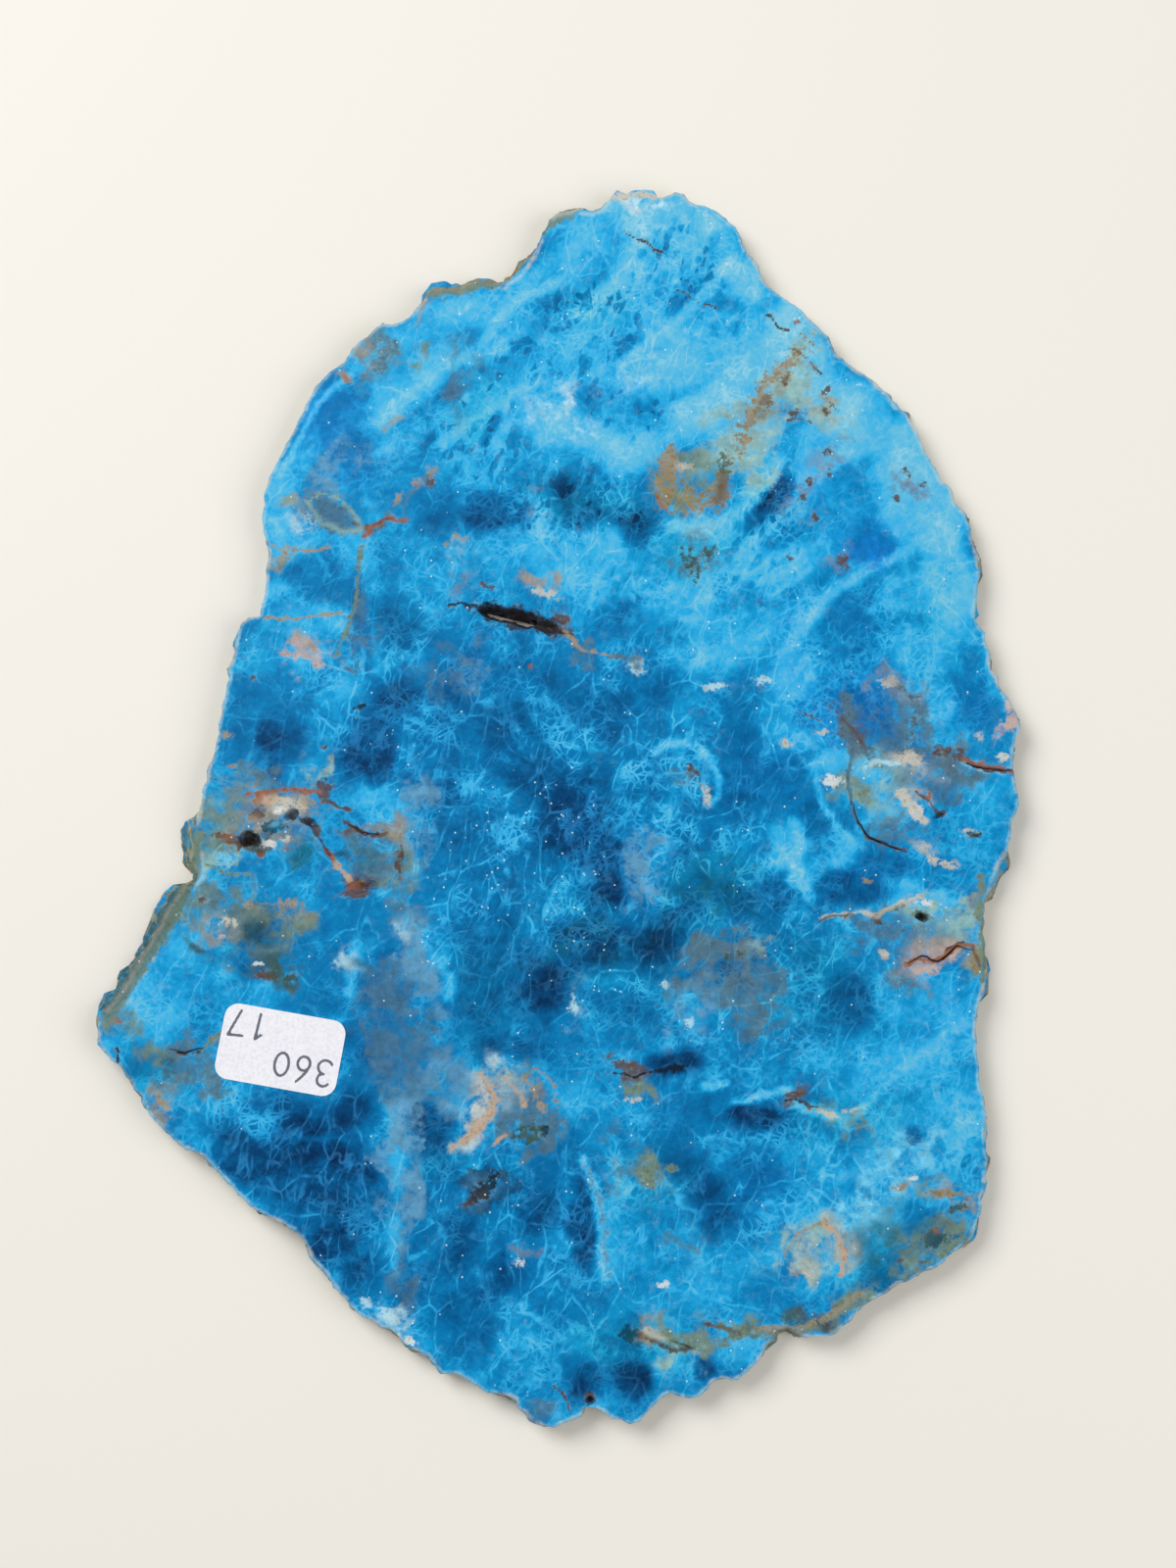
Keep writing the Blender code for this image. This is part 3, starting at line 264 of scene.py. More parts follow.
# Hazes: the tone, the place, half lengths, turn and cover
VEILS = (
    # upper left
    (Tone.GREY, -30, 72, 7, 3.5, 35, 0.65), (Tone.TAN, -34.5, 70.5, 3.5, 2, 40, 0.55),
    (Tone.GREY, -17, 71, 4, 4, 0, 0.30), (Tone.SLATE, -16, 64, 2, 6, -20, 0.35),
    (Tone.TAN, -22.3, 78.8, 2.4, 1.2, 30, 0.5), (Tone.OLIVE, -25, 71.5, 2.8, 1.8, 0, 0.60), (Tone.SLATE, -18.5, 66, 2, 2, 0, 0.55), (Tone.TAN, -28.5, 60, 1.6, 1.2, 0, 0.55),
    (Tone.LAVENDER, -34, 55, 7, 5, 0, 0.25), (Tone.LAVENDER, -38.6, 51.6, 4.2, 3.2, 0, 0.60), (Tone.CYAN, -17, 38, 2.6, 2, 0, 0.50),
    (Tone.SLATE, -38, 44.5, 5.2, 3.2, -25, 1.0), (Tone.GREY, -27.4, 46.4, 4, 2, 10, 0.60), (Tone.OLIVE, -44.4, 48.4, 2.4, 1.4, -30, 0.65), (Tone.OLIVE, -45, 38, 2.2, 2, 0, 0.60),
    (Tone.TAN, -22.3, 50.5, 2.6, 1.8, 60, 0.6), (Tone.TAN, -45, 38.5, 4.5, 2.2, 10, 0.4),
    (Tone.BROWN, -30, 43, 3, 1.2, 10, 0.65), (Tone.TAN, -43, 48, 4, 2.5, 0, 0.25),
    (Tone.FROST, -43, 43, 2.2, 5, 0, 0.30), (Tone.FROST, -1, 64, 5, 5, 0, 0.30),
    # top and right shoulder
    (Tone.FROST, 12, 98.6, 6, 1.6, 0, 0.55), (Tone.BONE, 10, 99, 3, 1.2, 0, 0.5),
    (Tone.FROST, 22, 95.5, 6, 2, -40, 0.4), (Tone.GREY, 3, 86.5, 4, 2, 20, 0.20),
    (Tone.SAGE, 29, 58, 4.5, 7, -35, 0.70), (Tone.SAGE, 34, 64.5, 4.5, 6, -40, 0.65),
    (Tone.SAGE, 38.5, 71, 3.5, 6, -20, 0.60), (Tone.SAGE, 33, 53, 4, 3.5, 0, 0.60),
    (Tone.SAGE, 40, 63, 7, 4, -10, 0.50), (Tone.TAN, 43, 63.5, 2.5, 4, 0, 0.35), (Tone.BROWN, 33, 63.2, 2.4, 2.2, 0, 0.55),
    (Tone.OCHRE, 35, 68, 1.4, 4, -30, 0.40), (Tone.OCHRE, 32, 61, 1.5, 4, -40, 0.45),
    (Tone.FROST, 14, 68, 9, 3, 25, 0.25), (Tone.FROST, 0, 60, 8, 3.4, 0, 0.30),
    (Tone.OLIVE, 20.5, 50.4, 6, 5.4, 0, 0.80), (Tone.CYAN, 21, 42.6, 6, 1.7, 5, 0.55),
    (Tone.MAUVE, 39, 46, 4, 4, 0, 0.45), (Tone.MAUVE, 45, 37, 2.6, 2.6, 0, 0.55),
    (Tone.VIOLET, 50, 39, 5, 5, 0, 0.45), (Tone.MAUVE, 55.5, 50, 3.5, 3, 0, 0.50),
    (Tone.MAUVE, 44, 53, 4, 4, 0, 0.35), (Tone.GREY, 47, 58, 4, 2.5, 0, 0.22),
    (Tone.GREY, 21, 37, 5, 5, 0, 0.50), (Tone.LAVENDER, -4, 45.5, 2.4, 3.6, 0, 0.50),
    (Tone.FROST, 52, 66, 4, 1.6, -45, 0.4),
    # round the slot
    (Tone.MAUVE, -15.5, 34, 4, 3, 20, 0.35), (Tone.TAN, -4, 31.6, 5, 2, -12, 0.50),
    (Tone.GREY, 3, 21.5, 6, 2.4, -10, 0.50), (Tone.BROWN, -0.8, 26.5, 2.6, 2.6, 0, 0.60),
    (Tone.LAVENDER, -17, 39.5, 3, 2.4, 0, 0.40),
    # left side
    (Tone.SLATE, -33.5, 27, 2, 7, 0, 0.50), (Tone.SLATE, -20, 19, 7, 4, 30, 0.50),
    (Tone.LAVENDER, -15, 19, 3, 5, 0, 0.30), (Tone.PINK, -42, 21.5, 4, 2, -20, 0.55),
    (Tone.TAN, -41, 24, 5, 2, 10, 0.35), (Tone.GREY, -35.5, 19.5, 2.6, 2, 0, 0.45),
    (Tone.SAGE, -39, 3, 2.2, 5, 0, 0.50), (Tone.TAN, -38.6, 5.6, 2, 1.4, 30, 0.5), (Tone.GREY, -37, 7, 3, 2, 60, 0.5),
    (Tone.OLIVE, -52.5, -1.5, 2, 5, -10, 0.60), (Tone.TEAL, -41, -11, 3.2, 2.6, 0, 0.75), (Tone.NAVY, -35.6, -10.6, 1.3, 3, 25, 0.85),
    (Tone.FROST, -55, -2, 2.4, 4, 0, 0.25), (Tone.MOSS, -60.6, -9.4, 2.2, 5, 0, 0.95), (Tone.OLIVE, -60.4, -6, 2, 2, 0, 0.7),
    (Tone.GREY, -49, -3, 9, 6, 0, 0.80),
    (Tone.TAN, -46, -5.4, 7, 3.8, 0, 0.80), (Tone.BONE, -46, -3.4, 5, 1.8, 0, 0.50), (Tone.SLATE, -42, -8, 5, 2, 0, 0.45),
    (Tone.UMBER, -51, -9.2, 3, 1.4, -10, 0.75), (Tone.OLIVE, -55, -8, 5, 6, 0, 0.60),
    (Tone.GREY, -29, -12, 6, 5.4, 0, 0.75), (Tone.OLIVE, -25.4, -12.4, 2, 4.6, 10, 0.75), (Tone.TAN, -27, -8, 2.6, 1.5, -30, 0.65),
    (Tone.OLIVE, -27.4, -17.4, 4, 1.6, 15, 0.65), (Tone.BROWN, -33, -16.8, 3, 1.4, 0, 0.8), (Tone.BROWN, -32, -8, 2.6, 0.9, -25, 0.8),
    (Tone.TEAL, -31, -12, 2, 2.4, 0, 0.60), (Tone.SAGE, -55, -12.6, 3.4, 2.6, -20, 0.60),
    (Tone.GREY, -53, -21, 7, 4, -25, 0.65), (Tone.BONE, -54, -22, 3, 1.6, -10, 0.5), (Tone.TAN, -44, -19.5, 3, 2, 0, 0.40),
    (Tone.OLIVE, -47, -22, 7, 5, 0, 0.55), (Tone.DARK_TEAL, -48.6, -23, 2.6, 3, 0, 0.9), (Tone.DARK_TEAL, -57, -26.4, 2.4, 1.2, 0, 0.7), (Tone.GREY, -52, -29, 6, 3, 0, 0.4), (Tone.MOSS, -45, -30.5, 6, 2.6, 0, 0.60), (Tone.OLIVE, -60, -22, 4, 6, -30, 0.40),
    (Tone.TAN, -54, -24.5, 3, 1.6, 0, 0.35), (Tone.GREY, -60, -46, 7, 4, -35, 0.85), (Tone.OLIVE, -66, -41, 4, 3, -40, 0.55),
    (Tone.TAN, -62, -50.5, 4, 1.6, -40, 0.50), (Tone.OLIVE, -70, -37.5, 3, 3, 0, 0.40),
    (Tone.GREY, -57, -40.5, 4, 1.8, 0, 0.45), (Tone.DARK_TEAL, -63, -44.6, 3, 1.6, -35, 0.55),
    # grey and blue band left of the middle
    (Tone.SLATE, -28, -34, 6, 8, 10, 0.80), (Tone.SLATE, -24, -44, 6, 7, 20, 0.75),
    (Tone.LAVENDER, -22, -28, 3, 8, 15, 0.70), (Tone.SLATE, -25, -20, 4, 5, 0, 0.55), (Tone.FROST, -25, -25, 1.6, 2, 0, 0.5), (Tone.FROST, -33.6, -28.6, 1.2, 3, 10, 0.5),
    (Tone.LAVENDER, -25, -54, 3, 7, 0, 0.70), (Tone.LAVENDER, -26, -66, 3, 8, 0, 0.75),
    (Tone.SLATE, -24, -78, 3, 5, 0, 0.75), (Tone.LAVENDER, -17, -46, 5, 4, 0, 0.60),
    # centre
    (Tone.LAVENDER, -23, -4, 4, 8, 0, 0.55),
    (Tone.LAVENDER, 12.6, -12.5, 3, 7, 3, 0.75), (Tone.LAVENDER, 1.8, -35.5, 2.4, 3.4, 0, 0.50),
    (Tone.GREY, 16, -30, 3, 5, 0, 0.35), (Tone.TEAL, 24, -16, 8, 5, 0, 0.40),
    (Tone.GREY, 20.5, 2.6, 3.6, 3, -40, 0.55), (Tone.TEAL, 2, -26, 10, 8, 0, 0.25),
    (Tone.LAVENDER, 21, -36, 4, 6, 0, 0.45), (Tone.GREY, 25, -28, 7, 4.4, 30, 0.80), (Tone.SAGE, 31, -26, 4, 2, 10, 0.40), (Tone.SLATE, 32, -33, 5, 4, -20, 0.70),
    (Tone.BROWN, 28, -27, 3, 1.6, 0, 0.30), (Tone.GREY, 30, -36, 6, 5, 0, 0.45),
    # right side
    (Tone.SLATE, 49, 9, 7, 6, 0, 0.60), (Tone.BROWN, 46.5, 8.5, 4, 2.2, -50, 0.65),
    (Tone.MAUVE, 53, 17, 3.4, 3, 0, 0.50), (Tone.GREY, 56, 12, 2, 6, 10, 0.50), (Tone.GREY, 60, 5, 9, 4, 0, 0.80), (Tone.BROWN, 60, 5.6, 5, 1.2, -8, 0.60), (Tone.MAUVE, 53.5, 15.6, 3, 1.8, 0, 0.6), (Tone.NAVY, 58.4, 0.8, 3, 2, -30, 0.45),
    (Tone.BONE, 56, 4, 4, 2, -20, 0.65), (Tone.SLATE, 58, 0, 6, 4, 0, 0.55), (Tone.BONE, 56.8, -3.2, 2.4, 3.4, 0, 0.65),
    (Tone.SAGE, 51, 0, 5, 5, 0, 0.45), (Tone.OLIVE, 46, -1.5, 4, 3.4, 0, 0.45),
    (Tone.SLATE, 51, -8, 3.6, 4, 0, 0.65), (Tone.SLATE, 58, -9, 4, 3, 0, 0.55),
    (Tone.PINK, 72, 9.6, 1.8, 2.4, 0, 0.85), (Tone.GREY, 65, 4, 5, 2, 0, 0.45),
    (Tone.BONE, 59.5, -12, 2.6, 1.8, 0, 0.55), (Tone.BONE, 57, -19, 2.6, 1.4, 0, 0.60),
    (Tone.SLATE, 52, -24, 8, 4, 0, 0.70), (Tone.SAGE, 61, -22, 6, 4, 0, 0.60), (Tone.TAN, 60, -27, 7, 2, 8, 0.55),
    (Tone.PINK, 59, -28.6, 5, 2, 5, 0.55), (Tone.OLIVE, 66.2, -26, 2, 7, 0, 0.70),
    (Tone.GREY, 55, -31, 6, 2.6, 0, 0.65), (Tone.TAN, 66, -20, 2, 5, 0, 0.35),
    # lower middle
    (Tone.SLATE, -6, -50, 6, 6, -30, 0.60), (Tone.FROST, -9, -47, 5, 3, -30, 0.50), (Tone.FROST, -15, -54, 2.4, 4, -35, 0.40), (Tone.BONE, -13, -51, 3.6, 5.4, -30, 0.50), (Tone.TAN, -4.6, -48, 4, 2, -35, 0.45),
    (Tone.OLIVE, -7, -47, 6, 2.4, 0, 0.40), (Tone.GREY, -5.4, -54.4, 4, 3.4, 0, 0.55),
    (Tone.NAVY, -12, -64, 6, 4, 35, 0.7), (Tone.SLATE, -12.6, -64.4, 3.8, 2.2, 35, 0.6), (Tone.MAUVE, -5, -74.4, 2.2, 1.6, 0, 0.50),
    (Tone.BROWN, 9.6, -45.4, 3.4, 2, 0, 0.55), (Tone.OLIVE, 10.6, -49, 3, 2, 0, 0.60),
    (Tone.OLIVE, 14.4, -61.6, 3.4, 3, 0, 0.60), (Tone.BROWN, 37, -50, 3, 1.6, 0, 0.55),
    (Tone.OLIVE, 44, -53.6, 5, 2, 0, 0.45), (Tone.GREY, 19, -72, 5, 4, 0, 0.35), (Tone.SLATE, 8, -60, 4, 6, 0, 0.35),
    # lower right
    (Tone.TAN, 37, -74.4, 2, 3, 20, 0.50), (Tone.PEACH, 42.6, -72, 2.4, 4.4, 15, 0.50),
    (Tone.OLIVE, 56, -64.4, 5, 1.8, 0, 0.50), (Tone.TEAL, 52, -72, 8, 4, 20, 0.40),
    (Tone.OLIVE, 58, -72, 6, 3, 30, 0.60), (Tone.CYAN, 49, -66, 8, 5, 30, 0.60), (Tone.TEAL, 49, -71, 5, 3, 20, 0.55), (Tone.SAGE, 38, -73.6, 6, 5.4, 0, 0.52), (Tone.BONE, 36.6, -75.4, 3, 3, 0, 0.24), (Tone.CYAN, 54, -58, 7, 5, 10, 0.45), (Tone.TAN, 63, -66, 2.4, 2.4, 0, 0.45),
    (Tone.DARK_TEAL, 10, -86.2, 2.4, 2.4, 0, 0.55), (Tone.TAN, 14, -86, 3, 1.6, -10, 0.60),
    (Tone.OLIVE, 19, -87.4, 5, 2.4, -25, 0.75), (Tone.SAGE, 17, -91.6, 4, 3, 20, 0.45),
    (Tone.SLATE, -3.4, -96.4, 3.4, 3, 0, 0.60), (Tone.OLIVE, 27, -84.6, 5, 2.4, -10, 0.70),
    (Tone.MOSS, 36, -84.4, 8, 2.2, 5, 0.55), (Tone.OLIVE, 45, -81, 5, 3, 40, 0.65), (Tone.BROWN, 40, -83.4, 5, 1.4, 20, 0.5),
    (Tone.FROST, -26, -85, 4, 2.4, -40, 0.60),
)

# Stains with firm edges: the tone, the place, half lengths, turn and cover
STAINS = (
    # ochre patch and the right shoulder
    (Tone.OCHRE, 16.8, 50.6, 2.0, 5.2, -6, 0.66), (Tone.BONE, 19.6, 52.6, 1.6, 0.9, 0, 0.45), (Tone.TAN, 17.2, 54, 1.6, 1.8, 0, 0.6),
    (Tone.MOSS, 26, 52.4, 1.3, 2.8, -8, 0.48), (Tone.OCHRE, 25.4, 48, 1.8, 3.6, -8, 0.6), (Tone.BROWN, 25.6, 48.4, 1.0, 2.6, -8, 0.6),
    (Tone.OCHRE, 20.8, 46.8, 3.0, 2.6, 0, 0.46), (Tone.BROWN, 33, 63.5, 1.3, 1.4, 0, 0.48),
    (Tone.BROWN, 36.4, 67, 0.7, 0.9, 0, 0.6), (Tone.BROWN, 37.6, 61.8, 0.9, 0.7, 0, 0.6),
    (Tone.BROWN, 42.8, 65.5, 0.8, 1.0, 0, 0.62), (Tone.BROWN, 42.8, 61.8, 0.8, 0.8, 0, 0.62),
    (Tone.RUST, 38.2, 77, 0.6, 0.5, 0, 0.7), (Tone.BROWN, 43, 55, 0.8, 0.9, 0, 0.6),
    (Tone.BROWN, 43.3, 51.5, 0.6, 0.7, 0, 0.6), (Tone.BROWN, 56, 51.3, 0.7, 0.8, 0, 0.62),
    (Tone.BROWN, 58.5, 49.6, 0.7, 0.6, 0, 0.62), (Tone.BROWN, 54, 47.2, 0.7, 0.8, 0, 0.62),
    (Tone.BROWN, 40, 50, 0.7, 0.8, 0, 0.6), (Tone.BROWN, 39, 47.3, 0.7, 0.6, 0, 0.6),
    (Tone.BROWN, 41.2, 44, 0.6, 0.8, 0, 0.58), (Tone.BROWN, 45.3, 36.5, 1.1, 1.4, 20, 0.66),
    (Tone.BROWN, 36.7, 37.5, 0.8, 0.7, 0, 0.55), (Tone.MOSS, 20.6, 36.4, 1.9, 3.2, 15, 0.48),
    (Tone.MOSS, 24, 38.4, 1.2, 1.4, 0, 0.46), (Tone.BROWN, 30.5, 60, 0.8, 1.4, -30, 0.5),
    # round the slot
    # painted shade down the slot's walls, over the brown of their crystal lining
    (Tone.UMBER, -8.8, 27.6, 5.6, 1.9, -14, 0.9),
    (Tone.BROWN, -0.4, 27.2, 1.3, 1.0, -30, 0.8), (Tone.RUST, -5.3, 19.2, 0.5, 0.5, 0, 0.75),
    (Tone.BONE, -3.2, 31.4, 2.8, 0.9, -14, 0.62), (Tone.BROWN, -12.6, 32.4, 1.8, 0.7, -10, 0.55),
    (Tone.UMBER, -3, 26, 2.6, 1.4, -20, 0.8), (Tone.TAN, 1.4, 23.4, 1.8, 0.7, -40, 0.55),
    # upper left
    (Tone.SLATE, -38, 44.5, 4.2, 2.6, -25, 0.8), (Tone.TAN, -36.3, 67.8, 1.6, 0.9, -50, 0.6), (Tone.BROWN, -22, 50.3, 0.9, 1.3, 30, 0.6), (Tone.RUST, -36, 67.4, 0.9, 0.4, -50, 0.6),
    (Tone.BROWN, -33, 42.4, 1.6, 0.7, -10, 0.66), (Tone.TAN, -27, 47.2, 1.2, 0.8, 40, 0.6),
    (Tone.BROWN, -50, 17.5, 0.5, 0.5, 0, 0.7), (Tone.PINK, -44.4, 21, 1.6, 0.9, -10, 0.6),
    (Tone.PINK, -39.6, 19.6, 1.6, 0.8, -20, 0.6), (Tone.TAN, -54, 8, 0.9, 0.6, 0, 0.6),
    (Tone.TAN, -53, 3, 0.8, 0.6, 0, 0.6), (Tone.BROWN, -39, 6, 0.9, 0.5, 0, 0.5),
    (Tone.BROWN, -38.5, 0, 1.6, 1.4, 0, 0.6), (Tone.SHADOW, -33, 12.7, 1.2, 0.5, 20, 0.7),
    # rusty zone on the left
    (Tone.PEACH, -47.2, -2.5, 2.0, 1.0, 4, 0.7), (Tone.RUST, -48.8, -2.2, 0.9, 0.6, 40, 0.7), (Tone.BONE, -43.4, -3.2, 2.6, 1.2, -8, 0.62),
    (Tone.WHITE, -45.6, -4.4, 1.2, 0.6, 10, 0.6), (Tone.RUST, -43.6, -1.3, 3.0, 0.25, 3, 0.6), (Tone.TAN, -49.2, -5.4, 1.0, 0.8, 0, 0.6),
    (Tone.BROWN, -48.8, -4.2, 1.4, 1.2, 0, 0.58), (Tone.DARK_TEAL, -46.4, -6.8, 2.0, 1.1, 10, 0.85), (Tone.DARK_TEAL, -43.4, -5, 1.0, 0.9, 0, 0.5), (Tone.CYAN, -46.2, -6.4, 1.0, 0.4, 10, 0.5),
    (Tone.BONE, -44.2, -8.6, 0.9, 0.6, 20, 0.62), (Tone.WHITE, -47.4, -9.5, 1.3, 0.7, -10, 0.7), (Tone.CYAN, -54, -12, 1.7, 1.4, 0, 0.5),
    (Tone.RUST, -48, -11.4, 1.0, 0.5, 10, 0.75), (Tone.RUST, -53.6, -8.6, 1.6, 1.0, 0, 0.5),
    (Tone.UMBER, -50, -8.8, 2.2, 1.3, -15, 0.6), (Tone.BROWN, -52.6, -9.8, 1.4, 0.8, -20, 0.7), (Tone.BROWN, -48.4, -11, 1.2, 0.5, -15, 0.6), (Tone.TAN, -51.2, -7.2, 1.0, 0.5, 30, 0.6), (Tone.TAN, -40.5, -3, 1.6, 0.7, -10, 0.6),
    (Tone.RUST, -37.2, -11.6, 0.5, 1.5, 35, 0.8), (Tone.PEACH, -36, -13, 0.5, 1.0, 40, 0.7), (Tone.RUST, -33.6, -16.2, 1.4, 1.0, 20, 0.8), (Tone.TAN, -32.2, -15.8, 0.5, 0.5, 0, 0.8),
    (Tone.PEACH, -34.4, -14.8, 0.5, 1.1, 30, 0.75), (Tone.BROWN, -33, -17.6, 2.6, 0.7, 4, 0.85), (Tone.BROWN, -38.4, -1.6, 1.0, 1.3, 0, 0.75),
    (Tone.RUST, -31.8, -16.2, 1.6, 0.6, 0, 0.7), (Tone.TAN, -27.4, -8, 1.8, 0.7, -25, 0.6),
    (Tone.BROWN, -26.4, -11.6, 0.8, 2.2, 0, 0.5), (Tone.UMBER, -41.2, -6, 1.2, 0.6, -20, 0.75), (Tone.BROWN, -39.4, -7.4, 0.7, 1.2, 35, 0.7), (Tone.BROWN, -55.2, -8.2, 1.8, 0.5, -5, 0.5),
    # left tip and below
    (Tone.BROWN, -57.5, -18.5, 0.9, 0.7, 0, 0.62), (Tone.TAN, -44, -19, 1.4, 0.8, 0, 0.55),
    (Tone.TAN, -50, -19.5, 1.2, 0.7, 0, 0.6), (Tone.BONE, -53, -22, 1.6, 0.8, -20, 0.62),
    (Tone.PINK, -54, -24.5, 1.2, 0.6, 0, 0.6), (Tone.BROWN, -47, -30.6, 1.6, 0.9, 0, 0.66),
    (Tone.WHITE, -48.5, -28.5, 0.8, 0.5, 0, 0.66), (Tone.MOSS, -43, -31, 1.3, 0.8, 0, 0.6),
    (Tone.RUST, -70.8, -37.8, 0.9, 0.7, 0, 0.66), (Tone.TAN, -63, -50.4, 1.6, 0.6, -40, 0.55),
    # peach loops and the dark patch under them
    (Tone.PEACH, -13.8, -54.6, 1.1, 2.4, -35, 0.55), (Tone.PEACH, -11.2, -50.6, 0.7, 2.4, -8, 0.5),
    (Tone.MOSS, -5.6, -55.2, 2.6, 1.8, 10, 0.6), (Tone.SHADOW, -2.7, -54.6, 0.8, 1.0, 0, 0.6),
    (Tone.SHADOW, -11.6, -63, 2.6, 1.3, 38, 0.6), (Tone.UMBER, -13.4, -65, 2.2, 1.0, 34, 0.6), (Tone.BROWN, -15.2, -66.4, 1.2, 0.7, 20, 0.5),
    # lower middle
    (Tone.BROWN, 9.5, -44.6, 1.8, 0.8, -8, 0.66), (Tone.SHADOW, 17, -45.2, 1.8, 0.7, 6, 0.62),
    (Tone.OLIVE, 10.5, -48.6, 2.0, 1.1, 8, 0.62), (Tone.BONE, 10.4, -50.2, 1.9, 0.4, 5, 0.6),
    (Tone.BROWN, 36.4, -49.4, 1.2, 0.6, -15, 0.66), (Tone.BROWN, 38.2, -50.6, 0.9, 0.5, -20, 0.62),
    (Tone.OLIVE, 13.4, -61.6, 1.5, 2.0, 0, 0.62), (Tone.OLIVE, 17, -60.6, 1.2, 0.9, 0, 0.6),
    (Tone.WHITE, -6.5, -75, 1.1, 0.7, 0, 0.6), (Tone.WHITE, 15.5, -78.5, 0.9, 0.7, 0, 0.6),
    (Tone.BONE, 41.8, -52.4, 2.0, 0.5, -14, 0.62), (Tone.BONE, 45.4, -51.4, 1.6, 0.5, 5, 0.6),
    # lower right
    (Tone.PEACH, 43.6, -74.6, 0.7, 2.2, 4, 0.6), (Tone.PEACH, 41.4, -70, 1.4, 0.7, -40, 0.6),
    (Tone.TAN, 36, -76.8, 1.6, 0.5, 25, 0.55), (Tone.BONE, 38, -77, 1.4, 0.4, -30, 0.6),
    (Tone.TAN, 53.4, -63.6, 1.8, 0.7, 0, 0.62), (Tone.WHITE, 55, -62, 1.0, 0.6, 0, 0.6),
    (Tone.OCHRE, 60, -64.5, 3.2, 0.8, 2, 0.66), (Tone.MOSS, 61.6, -67, 2.6, 0.7, 12, 0.62), (Tone.MOSS, 57.6, -71.4, 2.0, 1.2, 20, 0.6),
    (Tone.RUST, 58.3, -70.3, 0.5, 0.5, 0, 0.66), (Tone.BROWN, 56, -75, 0.6, 0.5, 0, 0.6),
    (Tone.BROWN, 52.3, -74.8, 0.5, 0.5, 0, 0.6), (Tone.DARK_TEAL, 58, -71.6, 1.4, 1.1, 0, 0.6),
    # foot
    (Tone.DARK_TEAL, 10, -86, 1.5, 1.5, 0, 0.66), (Tone.BONE, 13.6, -85.8, 1.5, 0.8, 0, 0.66),
    (Tone.SHADOW, 29.3, -85.7, 0.95, 0.9, 0, 0.8), (Tone.CYAN, 29.4, -85.6, 0.5, 0.5, 0, 0.9),
    (Tone.OLIVE, 17, -87, 3.6, 1.4, -20, 0.6), (Tone.BONE, 15, -86.6, 1.2, 0.5, -20, 0.55), (Tone.OLIVE, 25, -85, 2.2, 0.6, -12, 0.62),
    (Tone.BROWN, 4.2, -95.8, 1.0, 0.8, 0, 0.7),
    # right side
    (Tone.PINK, 72, 10.2, 1.4, 1.5, 0, 0.8), (Tone.WHITE, 70.5, 4.6, 0.9, 0.6, 0, 0.66),
    (Tone.BONE, 67, 8, 0.9, 0.7, 0, 0.6), (Tone.BONE, 53, 17, 0.9, 0.8, 0, 0.62),
    (Tone.BONE, 41.5, 8.5, 1.0, 0.6, 0, 0.6), (Tone.BONE, 36, 6.6, 1.4, 0.6, -20, 0.6),
    (Tone.WHITE, 42.8, 0.6, 2.0, 1.1, 0, 0.6), (Tone.BONE, 52.4, 16.6, 1.8, 0.9, 0, 0.6), (Tone.BONE, 55.6, 4.2, 2.4, 1.3, -10, 0.7), (Tone.BONE, 70.4, 4.2, 1.2, 0.8, 0, 0.6), (Tone.BONE, 65, -7.6, 1.8, 0.5, -10, 0.6), (Tone.BONE, 61, -12.8, 1.8, 0.8, -10, 0.6),
    (Tone.BROWN, 62, 5.2, 2.6, 1.1, -10, 0.55), (Tone.BROWN, 64, 4.6, 1.2, 0.8, -20, 0.6),
    (Tone.OLIVE, 48.5, -1.3, 1.2, 1.6, 0, 0.62), (Tone.OLIVE, 50, 3, 1.3, 0.8, 0, 0.6),
    (Tone.WHITE, 56.4, -4.6, 0.9, 1.4, -20, 0.66), (Tone.BONE, 54.6, -1.4, 1.2, 0.7, -30, 0.62),
    (Tone.RUST, 58.6, -2, 0.6, 0.7, 0, 0.6), (Tone.BROWN, 60.4, -4.6, 0.9, 0.5, 10, 0.66),
    (Tone.BONE, 59, -12, 1.5, 0.8, 20, 0.62), (Tone.TAN, 48.5, -15.4, 0.9, 0.6, 0, 0.55),
    (Tone.WHITE, 57.6, -19, 1.4, 0.6, 0, 0.66), (Tone.BONE, 51, -27, 1.0, 0.7, 0, 0.6),
    (Tone.BROWN, 50, -21.5, 1.0, 1.0, 0, 0.6), (Tone.OLIVE, 57, -21.2, 1.8, 1.1, -15, 0.6), (Tone.UMBER, 57, -21.3, 1.0, 0.5, -10, 0.85),
    (Tone.PINK, 58, -29.6, 2.0, 0.7, 5, 0.68), (Tone.OCHRE, 65.4, -28, 1.0, 2.6, 0, 0.6),
    (Tone.MOSS, 65.9, -8.2, 0.9, 0.4, -10, 0.7), (Tone.MOSS, 52, -20.2, 2.4, 0.4, 25, 0.55),
    # centre
    (Tone.BONE, 22.8, -1.6, 0.7, 1.9, 5, 0.62), (Tone.BROWN, 21, 2.2, 2.2, 0.8, -50, 0.5),
    (Tone.FROST, 11.8, 19.2, 1.4, 1.2, 0, 0.66), (Tone.DARK_TEAL, 11.8, 19.2, 0.7, 0.6, 0, 0.7),
    (Tone.FROST, 24, 16, 2.0, 0.7, 5, 0.6), (Tone.FROST, 32, 17, 1.9, 0.8, -10, 0.6),
    (Tone.MOSS, 27, -27.4, 2.0, 0.9, 5, 0.44), (Tone.FROST, 16, -32, 0.8, 0.8, 0, 0.6),
    (Tone.FROST, 20, -38, 0.8, 0.9, 0, 0.6), (Tone.FROST, 1.6, -35, 0.8, 1.7, 10, 0.56),
    # crust at the lower left edge
    (Tone.FROST, -27, -83.2, 2.2, 1.1, -38, 0.66), (Tone.WHITE, -23.6, -87, 1.5, 0.8, -30, 0.66),
